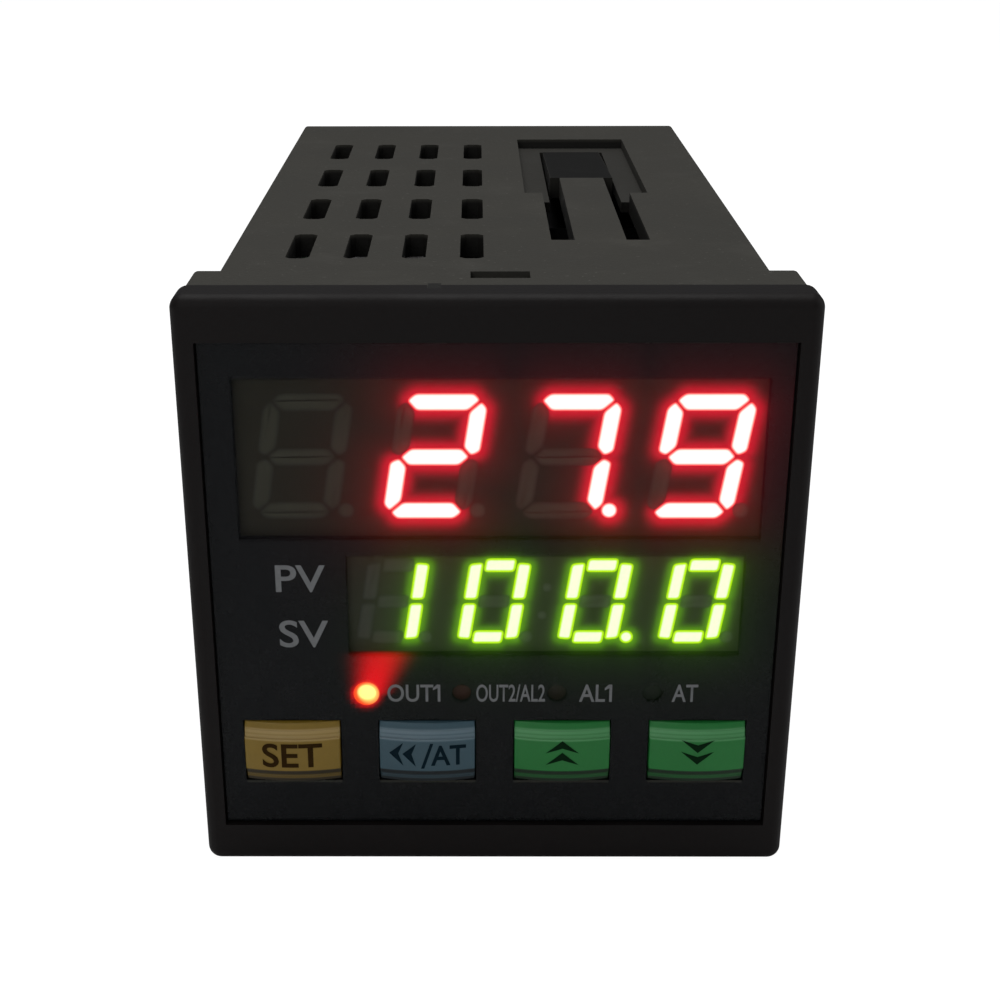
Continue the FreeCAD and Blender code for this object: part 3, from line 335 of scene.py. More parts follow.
def board_finish():
    """Green solder mask over copper tracks and a glass weave."""
    finish = Finish("green_board")
    weave = finish.ramp(finish.noise(1500.0, 1.0), 0.45, 0.6)
    track = finish.node("ShaderNodeTexBrick", {}, {
        "Vector": finish.place(), "Color1": (1.0, 1.0, 1.0, 1.0), "Color2": (1.0, 1.0, 1.0, 1.0),
        "Mortar": (0.0, 0.0, 0.0, 1.0), "Scale": 260.0, "Mortar Size": 0.06}, "Fac")
    colour = finish.between(track * 0.6 + weave * 0.2, (0.012, 0.090, 0.040), (0.03, 0.17, 0.07))
    return finish.done({
        "Base Color": colour,
        "Roughness": 0.34 + weave * 0.12,
        "Normal": finish.bump(track, 0.3, 0.00003),
    })


def plain_finish(name, tone, rough, metal=0.0, scale=700.0, spread=0.2):
    """A component's own skin, with faint mottling and unevenness at a stated scale."""
    finish = Finish(name)
    mottle = finish.noise(scale, 3.0, 0.6)
    return finish.done({
        "Base Color": finish.between(mottle, toned(tone, 1.0 - spread), toned(tone, 1.0 + spread)),
        "Roughness": rough + mottle * 0.12,
        "Metallic": metal,
        "Normal": finish.bump(mottle, 0.18, 0.00003),
    })


green_board = board_finish()
for board in ("display_board", "power_board", "main_board"):
    nodes[board].material_slots[0].material = green_board
for name, tone, rough, dressed in (
    ("switch_plastic", (0.03, 0.03, 0.03), 0.5, ("set_switch", "shift_switch", "up_switch", "down_switch")),
    ("stem_plastic", (0.55, 0.52, 0.47), 0.5, ("set_stem", "shift_stem", "up_stem", "down_stem")),
    ("header_plastic", (0.03, 0.03, 0.035), 0.5, ("left_header", "right_header")),
    ("capacitor_sleeve", (0.030, 0.020, 0.018), 0.34, ("mains_capacitor", "output_capacitor")),
    ("core_ferrite", (0.06, 0.06, 0.065), 0.7, ("transformer_core",)),
    ("winding_tape", (0.30, 0.21, 0.05), 0.38, ("transformer_winding",)),
    ("relay_cover", (0.020, 0.020, 0.022), 0.42, ("out1_relay", "al1_relay", "al2_relay")),
    ("chip_package", (0.02, 0.02, 0.02), 0.55, ("controller_chip",)),
):
    skin = plain_finish(name, tone, rough)
    for node in dressed:
        nodes[node].material_slots[0].material = skin


# Front bezel: a second black moulding that snaps into the flange, a little darker and smoother.
# Its plate behind the film has an opening for each display, lamp and key.

bezel_plastic = moulded(
    "bezel_plastic", (0.0078, 0.0060, 0.0058), grain=3200.0, depth=0.00004, rough=0.50, shine=0.15)
show("bezel_moulding", smooth_copy("front_bezel", "bezel_moulding"), bezel_plastic, "case", "front_bezel")


# Displays: grey-brown housings with flush light guides, slanted nine degrees.
# The measured value is lit red and the set value is lit yellow-green, with dark bars left unlit.

LIT_BARS = {"0": "abcdef", "1": "bc", "2": "abged", "7": "abc", "9": "abcdfg", " ": ""}
FACE_Y = -8.5
SLANT = math.tan(math.radians(9.0))
COLON_RADIUS = 0.4
GUIDE_DEPTH, GUIDE_PROUD, HOUSING_CELL = 0.8, 0.02, 0.2


def bar_outlines(width, height, stroke, gap):
    """Corner points, in mm, of the seven bars of an upright digit about its centre."""
    w, h, t, c = width / 2, height / 2, stroke, stroke * 0.8
    top = [(gap + c - w, h), (w - gap - c, h), (w - gap - c / 2, h - c / 2), (w - gap - t, h - t),
           (gap + t - w, h - t), (gap + c / 2 - w, h - c / 2)]
    side = [(-w, h - gap - c), (c / 2 - w, h - gap - c / 2), (t - w, h - gap - t), (t - w, t / 2 + gap),
            (t / 2 - w, gap), (-w, gap + t / 4)]
    bar = [(gap + t / 2 - w, 0), (gap + t - w, t / 2), (w - gap - t, t / 2), (w - gap - t / 2, 0),
           (w - gap - t, -t / 2), (gap + t - w, -t / 2)]
    return all_bars(top, side, bar)


def blunt_outlines(width, height, stroke, gap):
    """The same for a digit whose upright bars run past the ends of its level ones."""
    w, h, t = width / 2, height / 2, stroke
    top = [(gap + t - w, h), (w - gap - t, h), (w - gap - t, h - t), (gap + t - w, h - t)]
    side = [(-w, h - t * 0.38), (t - w, h - t * 0.28), (t - w, gap * 1.8), (-w, gap * 1.8)]
    bar = [(gap + t - w, t / 2), (w - gap - t, t / 2), (w - gap - t, -t / 2), (gap + t - w, -t / 2)]
    return all_bars(top, side, bar)


def all_bars(top, side, bar):
    return {
        "a": top, "b": [(-x, y) for x, y in side], "c": [(-x, -y) for x, y in side],
        "d": [(x, -y) for x, y in top], "e": [(x, -y) for x, y in side], "f": side, "g": bar,
    }


def round_corners(ring, radius, steps=3):
    """The outline with each corner drawn as a short curve."""
    turned = []
    for index, corner in enumerate(ring):
        here = Vector(corner)
        before, after = Vector(ring[index - 1]), Vector(ring[(index + 1) % len(ring)])
        cut = min(radius, (before - here).length * 0.45, (after - here).length * 0.45)
        start = here.lerp(before, cut / (before - here).length)
        end = here.lerp(after, cut / (after - here).length)
        for step in range(steps + 1):
            part = step / steps
            turned.append(start.lerp(here, part).lerp(here.lerp(end, part), part))
    return turned


def round_point(across, upward, radius, steps):
    """Outline of a decimal point or of one dot of a colon."""
    return [(across + radius * math.cos(a), upward + radius * math.sin(a))
            for a in np.linspace(0, 2 * math.pi, steps, endpoint=False)]


def display_bars(
        outlines, soft, shift, rise, pitch, size, point, point_shift, shown, point_after, colon=None):
    """Outlines of the lit and the unlit bars and points, placed on the display's face."""
    lit, unlit = [], []
    height, stroke = size[1:3]
    for index in range(4):
        middle = shift + pitch * (index - 1.5)
        for name, ring in outlines(*size).items():
            placed = [(middle + x + y * SLANT, rise + y) for x, y in round_corners(ring, soft)]
            (lit if name in LIT_BARS[shown[index]] else unlit).append(placed)
        dot_y = stroke / 2 - height / 2
        dot = round_point(middle + point_shift + dot_y * SLANT, rise + dot_y, point, 24)
        (lit if index == point_after else unlit).append(dot)
    for dot_y in colon or ():
        unlit.append(round_point(shift + dot_y * SLANT, rise + dot_y, COLON_RADIUS, 20))
    return lit, unlit


def bridge(build, loops):
    """Join each loop of corners to the next with a band of faces."""
    for near, far in zip(loops, loops[1:]):
        for index in range(len(near)):
            following = (index + 1) % len(near)
            build.faces.new((near[index], near[following], far[following], far[index]))


def shaped(name, build, crease=None):
    """The built shape as a mesh with its faces outwards, smooth where it turns less than the crease."""
    bmesh.ops.recalc_face_normals(build, faces=build.faces)
    if crease:
        for face in build.faces:
            face.smooth = True
        for edge in build.edges:
            edge.smooth = edge.calc_face_angle(0.0) < crease
    mesh = bpy.data.meshes.new(name)
    build.to_mesh(mesh)
    build.free()
    return mesh


def guide_mesh(name, rings, edge):
    """Light guides as shallow solids. The number "core" is 1 inside each bar and 0 at its edge."""
    build = bmesh.new()
    core = build.verts.layers.float.new("core")
    for ring in rings:
        loops = []
        for y, inward, value in (
            (GUIDE_DEPTH, 0.0, 0.0), (-GUIDE_PROUD, 0.0, 0.0),
            (-GUIDE_PROUD, edge * 0.5, 0.55), (-GUIDE_PROUD, edge, 1.0),
        ):
            loop = []
            for index, point in enumerate(ring):
                before, after = Vector(ring[index - 1]), Vector(ring[(index + 1) % len(ring)])
                along = (after - before).normalized()
                inner = Vector(point) + Vector((-along.y, along.x)) * inward * turn_of(ring)
                vert = build.verts.new((inner.x * mm, (FACE_Y + y) * mm, inner.y * mm))
                vert[core] = value
                loop.append(vert)
            loops.append(loop)
        bridge(build, loops)
        build.faces.new(loops[-1])
        build.faces.new(loops[0][::-1])
    return shaped(name, build)


def turn_of(ring):
    """1 where the outline runs anticlockwise, and -1 where it runs clockwise."""
    area = sum(a[0] * b[1] - b[0] * a[1] for a, b in zip(ring, ring[1:] + ring[:1]))
    return 1.0 if area > 0 else -1.0


def away_from(rings, x, z):
    """Distance, in mm, from each point to the nearest of the outlines, and 0 inside them."""
    nearest = np.full(x.shape, 1e3)
    for ring in rings:
        inside = np.zeros(x.shape, bool)
        reach = np.full(x.shape, 1e3)
        for (ax, az), (bx, bz) in zip(ring, ring[1:] + ring[:1]):
            dx, dz = bx - ax, bz - az
            part = np.clip(((x - ax) * dx + (z - az) * dz) / (dx * dx + dz * dz + 1e-12), 0, 1)
            reach = np.minimum(reach, np.hypot(x - ax - part * dx, z - az - part * dz))
            crosses = (az > z) != (bz > z)
            inside ^= crosses & (x < dx * (z - az) / (dz if dz else 1e-12) + ax)
        nearest = np.minimum(nearest, np.where(inside, 0.0, reach))
    return nearest


def lit_finish(name, core, edge, strength, start):
    """Light that is near white along the middle of a bar and coloured at its edge, up to start."""
    finish = Finish(name)
    share = finish.ramp(finish.kept("core"), start, 1.0)
    grain = finish.noise(900.0, 2.0)
    tone = finish.between(share, edge, core)
    return finish.done({
        "Base Color": finish.between(grain, toned(edge, 0.30), toned(edge, 0.36)),
        "Roughness": 0.35 + grain * 0.1,
        "Emission Color": tone,
        "Emission Strength": strength,
    })


def housing_finish(name, face, glow_tone, strength):
    """Printed grey face, with a painted glow from the lit bars next to it."""
    finish = Finish(name)
    grain = finish.noise(2400.0, 2.0)
    near = finish.kept("near_glow")
    return finish.done({
        "Base Color": finish.between(grain, toned(face, 0.85), toned(face, 1.15)),
        "Roughness": 0.55 + grain * 0.1,
        "Specular IOR Level": 0.2,
        # Painted glow: the face gives off the bars' colour where it lies near a lit bar.
        "Emission Color": finish.between(near, (0.0, 0.0, 0.0), glow_tone),
        "Emission Strength": strength,
    })


def housing_mesh(name, width, height, shift, rise, back, rings, tight, wide, share):
    """A block whose face is a fine grid that keeps how near each point is to a lit bar.

    The glow falls off over tight, and a share of it over wide, both in mm.
    """
    across = np.linspace(shift - width / 2, shift + width / 2, int(width / HOUSING_CELL) + 1)
    upward = np.linspace(rise - height / 2, rise + height / 2, int(height / HOUSING_CELL) + 1)
    x, z = np.meshgrid(across, upward, indexing="ij")
    away = away_from(rings, x, z)
    glow_here = (1 - share) * np.exp(-(away / tight) ** 2) + share * np.exp(-away / wide)
    build = bmesh.new()
    near = build.verts.layers.float.new("near_glow")
    grid = []
    for i in range(len(across)):
        column = []
        for k in range(len(upward)):
            vert = build.verts.new((x[i, k] * mm, FACE_Y * mm, z[i, k] * mm))
            vert[near] = float(glow_here[i, k])
            column.append(vert)
        grid.append(column)
    for i in range(len(across) - 1):
        for k in range(len(upward) - 1):
            build.faces.new((grid[i][k], grid[i + 1][k], grid[i + 1][k + 1], grid[i][k + 1]))
    rim = [column[0] for column in grid] + grid[-1][1:]
    rim += [column[-1] for column in grid[-2::-1]] + grid[0][-2:0:-1]
    behind = [build.verts.new((vert.co.x, back * mm, vert.co.z)) for vert in rim]
    for index in range(len(rim)):
        following = (index + 1) % len(rim)
        build.faces.new((rim[index], behind[index], behind[following], rim[following]))
    build.faces.new(behind)
    return shaped(name, build)


def unlit_finish(name, tone, stray):
    """Bars that are off, painted darker towards their edges as shade. Right of the first digit they take a
    little of the light beside them as a painted glow.
    """
    finish = Finish(name)
    grain = finish.noise(1600.0, 2.0)
    beside = finish.ramp(finish.axes()[0], -12.0 * mm, -6.0 * mm)
    # Painted shade: each bar is darker at its edge than along its core, with some grain mixed in.
    inner = finish.ramp(finish.kept("core"), 0.0, 1.0) * 0.8 + grain * 0.2
    return finish.done({
        "Emission Color": finish.between(beside, (0.0, 0.0, 0.0), stray),
        "Emission Strength": 1.0,
        "Base Color": finish.between(inner, toned(tone, 0.66), toned(tone, 1.14)),
        "Roughness": 0.42 + grain * 0.1,
        "Specular IOR Level": 0.3,
        "Normal": finish.bump(grain, 0.1, 0.00002),
    })


BOARD_FRONT_Y = -3.0
pv_lit, pv_unlit = display_bars(
    bar_outlines, soft=0.30, shift=0.42, rise=11.2, pitch=10.16, size=(6.85, 10.1, 1.40, 0.07),
    point=0.64, point_shift=3.95, shown=" 279", point_after=2)
sv_lit, sv_unlit = display_bars(
    blunt_outlines, soft=0.36, shift=3.9, rise=-0.84, pitch=8.0, size=(4.95, 7.35, 1.16, 0.08),
    point=0.55, point_shift=3.05, shown="1000", point_after=2, colon=(1.2, -1.2))
red_light = lit_finish("red_light", (1.0, 0.90, 0.82), (1.0, 0.10, 0.09), strength=3.2, start=0.1)
green_light = lit_finish("green_light", (0.95, 1.0, 0.72), (0.46, 0.80, 0.0), strength=2.5, start=0.42)
pv_off = unlit_finish("pv_unlit", (0.265, 0.258, 0.180), (0.030, 0.002, 0.002))
sv_off = unlit_finish("sv_unlit", (0.33, 0.32, 0.28), (0.006, 0.016, 0.0))
for name, rings, edge, finish, segments in (
    ("pv_bars_lit", pv_lit, 0.26, red_light, "pv_lit_segments"),
    ("pv_bars_unlit", pv_unlit, 0.36, pv_off, "pv_unlit_segments"),
    ("sv_bars_lit", sv_lit, 0.26, green_light, "sv_lit_segments"),
    ("sv_bars_unlit", sv_unlit, 0.30, sv_off, "sv_unlit_segments"),
):
    show(name, guide_mesh(name, rings, edge), finish, "case", segments)
pv_block = housing_mesh(
    "pv_housing", width=40.3, height=12.9, shift=0.3, rise=11.2, back=BOARD_FRONT_Y, rings=pv_lit,
    tight=0.62, wide=1.7, share=0.08)
sv_block = housing_mesh(
    "sv_housing", width=31.1, height=8.6, shift=3.9, rise=-0.9, back=BOARD_FRONT_Y, rings=sv_lit,
    tight=0.40, wide=1.6, share=0.08)
pv_face = housing_finish("pv_face", (0.135, 0.125, 0.080), (1.0, 0.002, 0.032), strength=1.1)
sv_face = housing_finish("sv_face", (0.20, 0.19, 0.145), (0.14, 0.46, 0.0), strength=1.0)
show("pv_housing", pv_block, pv_face, "case", "pv_display_housing")
show("sv_housing", sv_block, sv_face, "case", "sv_display_housing")


# Status lamps: four round lamps whose tips sit in holes of the plate behind the film.
# The first is lit orange, and the others are dark red, dark red and dark green.

LAMP_SHIFT, LAMP_PITCH, LAMP_Z, LAMP_RADIUS = 1.17, 7.67, -8.7, 0.95
LAMP_TIP_Y, LAMP_BULGE = -8.9, 0.16
LAMP_X = [LAMP_SHIFT + LAMP_PITCH * (index - 1.5) for index in range(4)]


def lamp_mesh(name, x):
    """A barrel with a nearly flat tip. The number "core" is 1 at the tip's middle."""
    profile = [(math.sin(a) * LAMP_RADIUS, LAMP_TIP_Y + LAMP_BULGE * (1 - math.cos(a)), math.cos(a))
               for a in np.linspace(0, math.pi / 2, 9)]
    profile += [(LAMP_RADIUS, BOARD_FRONT_Y, 0.0), (0.0, BOARD_FRONT_Y, 0.0)]
    build = bmesh.new()
    core = build.verts.layers.float.new("core")
    rings = []
    for out, y, value in profile:
        ring = []
        for angle in np.linspace(0, 2 * math.pi, 32, endpoint=False):
            across, upward = x + out * math.cos(angle), LAMP_Z + out * math.sin(angle)
            vert = build.verts.new((across * mm, y * mm, upward * mm))
            vert[core] = value
            ring.append(vert)
        rings.append(ring)
    bridge(build, rings)
    bmesh.ops.remove_doubles(build, verts=build.verts, dist=1e-7)
    return shaped(name, build, 0.6)


def lamp_finish(name, tone, glow_core=None, glow_edge=None):
    """Tinted resin. A lamp that is lit glows paler at its middle than at its rim."""
    finish = Finish(name)
    swirl = finish.noise(900.0, 2.0)
    inputs = {
        "Base Color": finish.between(swirl, toned(tone, 0.8), toned(tone, 1.2)),
        "Roughness": 0.25 + swirl * 0.1,
    }
    if glow_core:
        share = finish.ramp(finish.kept("core") + swirl * 0.3, 0.20, 0.65)
        inputs["Emission Color"] = finish.between(share, glow_edge, glow_core)
        inputs["Emission Strength"] = 1.1
    return finish.done(inputs)


lamp_finishes = (
    lamp_finish("lamp_orange", (0.9, 0.4, 0.1), (1.0, 0.86, 0.32), (1.0, 0.16, 0.03)),
    lamp_finish("lamp_red", (0.26, 0.06, 0.055)),
    lamp_finish("lamp_dark_red", (0.10, 0.05, 0.042)),
    lamp_finish("lamp_dark_green", (0.055, 0.070, 0.052)),
)
for name, x, finish in zip(("out1", "out2", "al1", "at"), LAMP_X, lamp_finishes):
    show(name + "_dome", lamp_mesh(name + "_dome", x), finish, "case", name + "_lamp")


# Front film: half a millimetre of dark smoked polycarbonate with an opening for each key.
# Its printed legends show pale grey, and it carries a faint haze of the light behind it.

FILM_FRONT_Y, FILM_BACK_Y = -9.5, -9.0
FILM_HALF_X, FILM_HALF_Z = 22.15, 20.35
FILM_COLUMNS, FILM_ROWS = 120, 110
HAZE_RISE, WEDGE_TOP, GLOW_SCALE = 0.3, 3.75, 0.35
KEY_PITCH, KEY_Z, KEY_WIDTH, KEY_HEIGHT, KEY_GAP = 10.96, -13.7, 7.75, 5.35, 0.1
KEY_X = [KEY_PITCH * (index - 1.5) for index in range(4)]


def film_mesh(name):
    """A sheet on a fine grid that keeps the haze of the red, green and lamp light."""
    hole_x = [(x - KEY_WIDTH / 2 - KEY_GAP, x + KEY_WIDTH / 2 + KEY_GAP) for x in KEY_X]
    hole_z = (KEY_Z - KEY_HEIGHT / 2 - KEY_GAP, KEY_Z + KEY_HEIGHT / 2 + KEY_GAP)
    sides = [side for hole in hole_x for side in hole]
    xs = sorted({round(v, 4) for v in [*np.linspace(-FILM_HALF_X, FILM_HALF_X, FILM_COLUMNS), *sides]})
    zs = sorted({round(v, 4) for v in [*np.linspace(-FILM_HALF_Z, FILM_HALF_Z, FILM_ROWS), *hole_z]})
    x, z = np.meshgrid(xs, zs, indexing="ij")

    def bar_haze(rings, near, near_reach, far, far_reach):
        close = np.exp(-(away_from(rings, x, z - HAZE_RISE) / near_reach) ** 2)
        return near * close + far * np.exp(-away_from(rings, x, z) / far_reach)

    red = bar_haze(pv_lit, 0.10, 0.6, 0.065, 1.9)
    green = bar_haze(sv_lit, 0.06, 0.5, 0.03, 1.6)
    rise = z - LAMP_Z - 0.2
    lamp = 0.75 * np.exp(-(np.maximum(np.hypot(x - LAMP_X[0], rise) - LAMP_RADIUS, 0) / 0.24) ** 1.5)
    wedge = np.clip(rise / 3.2, 0, 1)
    spread = np.exp(-0.5 * np.abs((x - LAMP_X[0] - 0.36 - 0.87 * wedge) / (0.84 + 0.48 * wedge)) ** 2.6)
    fade = (rise > 0) * np.clip((WEDGE_TOP - rise) / 0.4, 0, 1)
    lamp = np.maximum(lamp, (0.80 - 0.22 * wedge) * spread * fade)
    build = bmesh.new()
    keep = {key: build.verts.layers.float.new(key) for key in ("red_haze", "green_haze", "lamp_haze")}
    fronts, backs = {}, {}

    def corner(i, k):
        if (i, k) not in fronts:
            place = x[i, k] * mm, z[i, k] * mm
            for shelf, y in ((fronts, FILM_FRONT_Y), (backs, FILM_BACK_Y)):
                vert = build.verts.new((place[0], y * mm, place[1]))
                for key, field in (("red_haze", red), ("green_haze", green), ("lamp_haze", lamp)):
                    vert[keep[key]] = float(field[i, k]) if shelf is fronts else 0.0
                shelf[i, k] = vert
        return i, k

    def open_cell(i, k):
        cx, cz = (xs[i] + xs[i + 1]) / 2, (zs[k] + zs[k + 1]) / 2
        return hole_z[0] < cz < hole_z[1] and any(low < cx < high for low, high in hole_x)

    for i in range(len(xs) - 1):
        for k in range(len(zs) - 1):
            if open_cell(i, k):
                continue
            ring = [corner(i, k), corner(i + 1, k), corner(i + 1, k + 1), corner(i, k + 1)]
            build.faces.new([fronts[key] for key in ring])
            build.faces.new([backs[key] for key in ring[::-1]])
    middle_y = (FILM_FRONT_Y + FILM_BACK_Y) / 2 * mm
    for edge in [edge for edge in build.edges if len(edge.link_faces) == 1 and edge.verts[0].co.y < middle_y]:
        keys = [next(key for key, vert in fronts.items() if vert is end) for end in edge.verts]
        build.faces.new((fronts[keys[0]], fronts[keys[1]], backs[keys[1]], backs[keys[0]]))
    return shaped(name, build)


film = Finish("smoked_film")
film_x, film_z = film.axes()[::2]
scuff = film.noise(260.0, 5.0, 0.65)
fine = film.noise(3000.0, 1.0)
clear = 0.0
for shift, half_width, rise, half_height in ((0.3, 20.15, 11.2, 6.45), (3.9, 15.55, -0.9, 4.3)):
    window = film.within(film_x, shift * mm, half_width * mm, 0.15 * mm) * film.within(
        film_z, rise * mm, half_height * mm, 0.15 * mm)
    clear = film.sum("MAXIMUM", clear, window)
# The loop ends at the lit lamp, so its last distance shapes the glow too.
for lamp_x in LAMP_X[::-1]:
    across = film_x - lamp_x * mm
    upward = film_z - (LAMP_Z + 0.18) * mm
    away = (across * across + upward * upward) ** 0.5
    clear = film.sum("MAXIMUM", clear, 1.0 - film.ramp(away, 0.68 * mm, 0.90 * mm))
disc = 1.0 - film.ramp(away, 0.92 * mm, 1.10 * mm)
hot = 1.0 - film.ramp(away - across * 0.3, 0.55 * mm, 1.10 * mm)
alpha = 0.93 - clear * 0.57 + fine * 0.03
even = GLOW_SCALE / alpha
glow = film.between(disc * even, (0.0, 0.0, 0.0), film.between(hot, (0.80, 0.09, 0.01), (0.55, 0.46, 0.10)))
for haze, tone in (
    ("red_haze", (1.0, 0.0, 0.03)), ("green_haze", (0.3, 1.0, 0.0)), ("lamp_haze", (1.0, 0.0, 0.008)),
):
    part = film.between(film.kept(haze) * even, (0.0, 0.0, 0.0), tone)
    glow = film.node("ShaderNodeMix", {"data_type": "RGBA", "blend_type": "ADD"}, {
        0: 1.0, 6: glow, 7: part}, 2)
# Painted highlight: a thin paler line on the film along the lower rim of each key opening.
rim_highlight = film.within(film_z, (KEY_Z - KEY_HEIGHT / 2 - 0.225) * mm, 0.10 * mm, 0.06 * mm)
at_key = 0.0
for key_x in KEY_X:
    beside = film.within(film_x, key_x * mm, (KEY_WIDTH / 2 + 0.025) * mm, 0.1 * mm)
    at_key = film.sum("MAXIMUM", at_key, beside)
dusk = film.between(film.ramp(scuff, 0.4, 0.8), (0.0046, 0.0054, 0.0064), (0.0070, 0.0076, 0.0084))
smoked_film = film.done({
    "Base Color": film.between(rim_highlight * at_key, dusk, (0.030, 0.030, 0.024)),
    "Roughness": 0.20 + scuff * 0.16,
    "Specular IOR Level": 0.14,
    "Alpha": alpha,
    "Emission Color": glow,
    "Emission Strength": 2.85,
})
show("smoked_front", film_mesh("smoked_front"), smoked_film, "case", "front_film")


def lettering(name, text, left, right, low, high, body, material, front, thicken=0.0, bend=None):
    """Printed text stretched to a measured box. A bend gives each point its own depth."""
    curve = bpy.data.curves.new(name, "FONT")
    curve.body = text
    curve.size = 1.0
    curve.offset = thicken
    curve.resolution_u = 5
    written = bpy.data.objects.new(name + "_curve", curve)
    scene.collection.objects.link(written)
    ready = bpy.context.evaluated_depsgraph_get()
    mesh = bpy.data.meshes.new_from_object(written.evaluated_get(ready))
    bpy.data.objects.remove(written)
    xs = [vert.co.x for vert in mesh.vertices]
    ys = [vert.co.y for vert in mesh.vertices]
    first, last, bottom, top = min(xs), max(xs), min(ys), max(ys)
    sliced = bmesh.new()
    sliced.from_mesh(mesh)
    for cut in np.linspace(first, last, 24)[1:-1] if bend else ():
        bmesh.ops.bisect_plane(
            sliced, geom=sliced.verts[:] + sliced.edges[:] + sliced.faces[:],
            plane_co=(cut, 0, 0), plane_no=(1, 0, 0))
    for vert in sliced.verts:
        x = left + (vert.co.x - first) / (last - first) * (right - left)
        z = low + (vert.co.y - bottom) / (top - bottom) * (high - low)
        vert.co = Vector((x, (bend(x) if bend else front), z)) * mm
    sliced.to_mesh(mesh)
    sliced.free()
    mesh.name = name
    return show(name, mesh, material, body)


print_finish = Finish("legend_print")
worn = print_finish.noise(2200.0, 2.0)
legend_print = print_finish.done({
    "Base Color": print_finish.between(worn, (0.150, 0.155, 0.160), (0.225, 0.230, 0.235)),
    "Roughness": 0.5 + worn * 0.1,
    "Specular IOR Level": 0.2,
})
PRINT_PROUD, PRINT_WEIGHT = 0.012, 0.012
TEXT_LOW, TEXT_HIGH, OUT1_RIGHT, AL1_RIGHT = -9.25, -7.69, -4.39, 9.42
print_y = FILM_FRONT_Y - PRINT_PROUD
for name, text, left, right, low, high in (
    ("pv_legend", "PV", -17.2, -13.3, 0.38, 2.67),
    ("sv_legend", "SV", -17.1, -13.2, -4.40, -2.04),
    ("out1_legend", "OUT1", -8.65, OUT1_RIGHT, TEXT_LOW, TEXT_HIGH),
    ("out2_legend", "OUT2/AL2", -1.5, 4.04, TEXT_LOW, TEXT_HIGH),
    ("al1_legend", "AL1", 6.77, AL1_RIGHT, TEXT_LOW, TEXT_HIGH),
    ("at_legend", "AT", 14.24, 16.32, TEXT_LOW, TEXT_HIGH),
):
    lettering(name, text, left, right, low, high, "case", legend_print, print_y, PRINT_WEIGHT)

# The last figure of OUT1 and of AL1 gets a short flag at its top.
ones = bmesh.new()
for stem in (OUT1_RIGHT - 0.17, AL1_RIGHT - 0.17):
    flag = [(stem, TEXT_HIGH), (stem - 0.10, TEXT_HIGH), (stem - 0.42, TEXT_HIGH - 0.33),
            (stem - 0.42, TEXT_HIGH - 0.53), (stem, TEXT_HIGH - 0.29)]
    ones.faces.new([ones.verts.new((x * mm, print_y * mm, z * mm)) for x, z in flag])
flag_mesh = bpy.data.meshes.new("one_flags")
ones.to_mesh(flag_mesh)
ones.free()
show("one_flags", flag_mesh, legend_print, "case")


# Keys: four moulded caps, orange, blue-grey, green and green, that rise through the film.
# Each face is crowned across its width and stepped twice at its top and bottom ends.

KEY_BASE_Y = FILM_FRONT_Y - 0.05
KEY_BACK_Y = -7.75
CROWN = 0.5
STEP, TREAD, TREAD_SLOPE = 0.25, 0.60, 0.16
END_SOFT, SIDE_SOFT = 0.09, 0.10
INK_LIFT, INK_WEIGHT = 0.53, 0.018
CROWN_RADIUS = (KEY_WIDTH ** 2 / 4 + CROWN ** 2) / (2 * CROWN)


def crown_y(x, middle, lift):
    """Depth of the crowned face at x. Lift is how far that step stands out."""
    fall = CROWN_RADIUS - math.sqrt(CROWN_RADIUS ** 2 - (x - middle) ** 2)
    return KEY_BASE_Y - CROWN + fall - lift


def cap_profile():
    """Half of the cap's ends: pairs of height and lift, with sloping treads and rounded edges."""
    points = []
    for step in range(3):
        edge, lift = KEY_HEIGHT / 2 - TREAD * step, STEP * step - (TREAD_SLOPE if step < 2 else 0.0)
        for angle in np.linspace(0, math.pi / 2, 4):
            out, forward = END_SOFT * math.cos(angle), END_SOFT * math.sin(angle)
            points.append((edge - END_SOFT + out, lift - END_SOFT + forward))
        if step < 2:
            points.append((edge - TREAD + 0.02, STEP * step))
    return points


def cap_mesh(name, middle):
    """The crowned and stepped cap, closed at its sides and back."""
    half = cap_profile()
    profile = [(KEY_Z + z, lift) for z, lift in half] + [(KEY_Z - z, lift) for z, lift in half[::-1]]
    half_width = KEY_WIDTH / 2
    columns = [(-half_width, None)]
    columns += [(-half_width + SIDE_SOFT * (1 - math.cos(a)), SIDE_SOFT * (1 - math.sin(a)))
                for a in np.linspace(0, math.pi / 2, 4)]
    columns += [(x, 0.0) for x in np.linspace(-half_width + SIDE_SOFT, half_width - SIDE_SOFT, 22)[1:-1]]
    columns += [(half_width - SIDE_SOFT * (1 - math.cos(a)), SIDE_SOFT * (1 - math.sin(a)))
                for a in np.linspace(math.pi / 2, 0, 4)]
    columns += [(half_width, None)]
    build = bmesh.new()
    grid = []
    for x, drop in columns:
        rows = [(KEY_Z + KEY_HEIGHT / 2, None)] + profile + [(KEY_Z - KEY_HEIGHT / 2, None)]
        column = []
        for z, lift in rows:
            back = drop is None or lift is None
            y = KEY_BACK_Y if back else crown_y(middle + x, middle, lift) + drop
            column.append(build.verts.new(((middle + x) * mm, y * mm, z * mm)))
        grid.append(column)
    for near, far in zip(grid, grid[1:]):
        for k in range(len(near) - 1):
            build.faces.new((near[k], far[k], far[k + 1], near[k + 1]))
    rim = [column[0] for column in grid] + [column[-1] for column in grid[::-1]]
    build.faces.new(rim[::-1])
    bmesh.ops.remove_doubles(build, verts=build.verts, dist=1e-7)
    return shaped(name, build, math.radians(50))


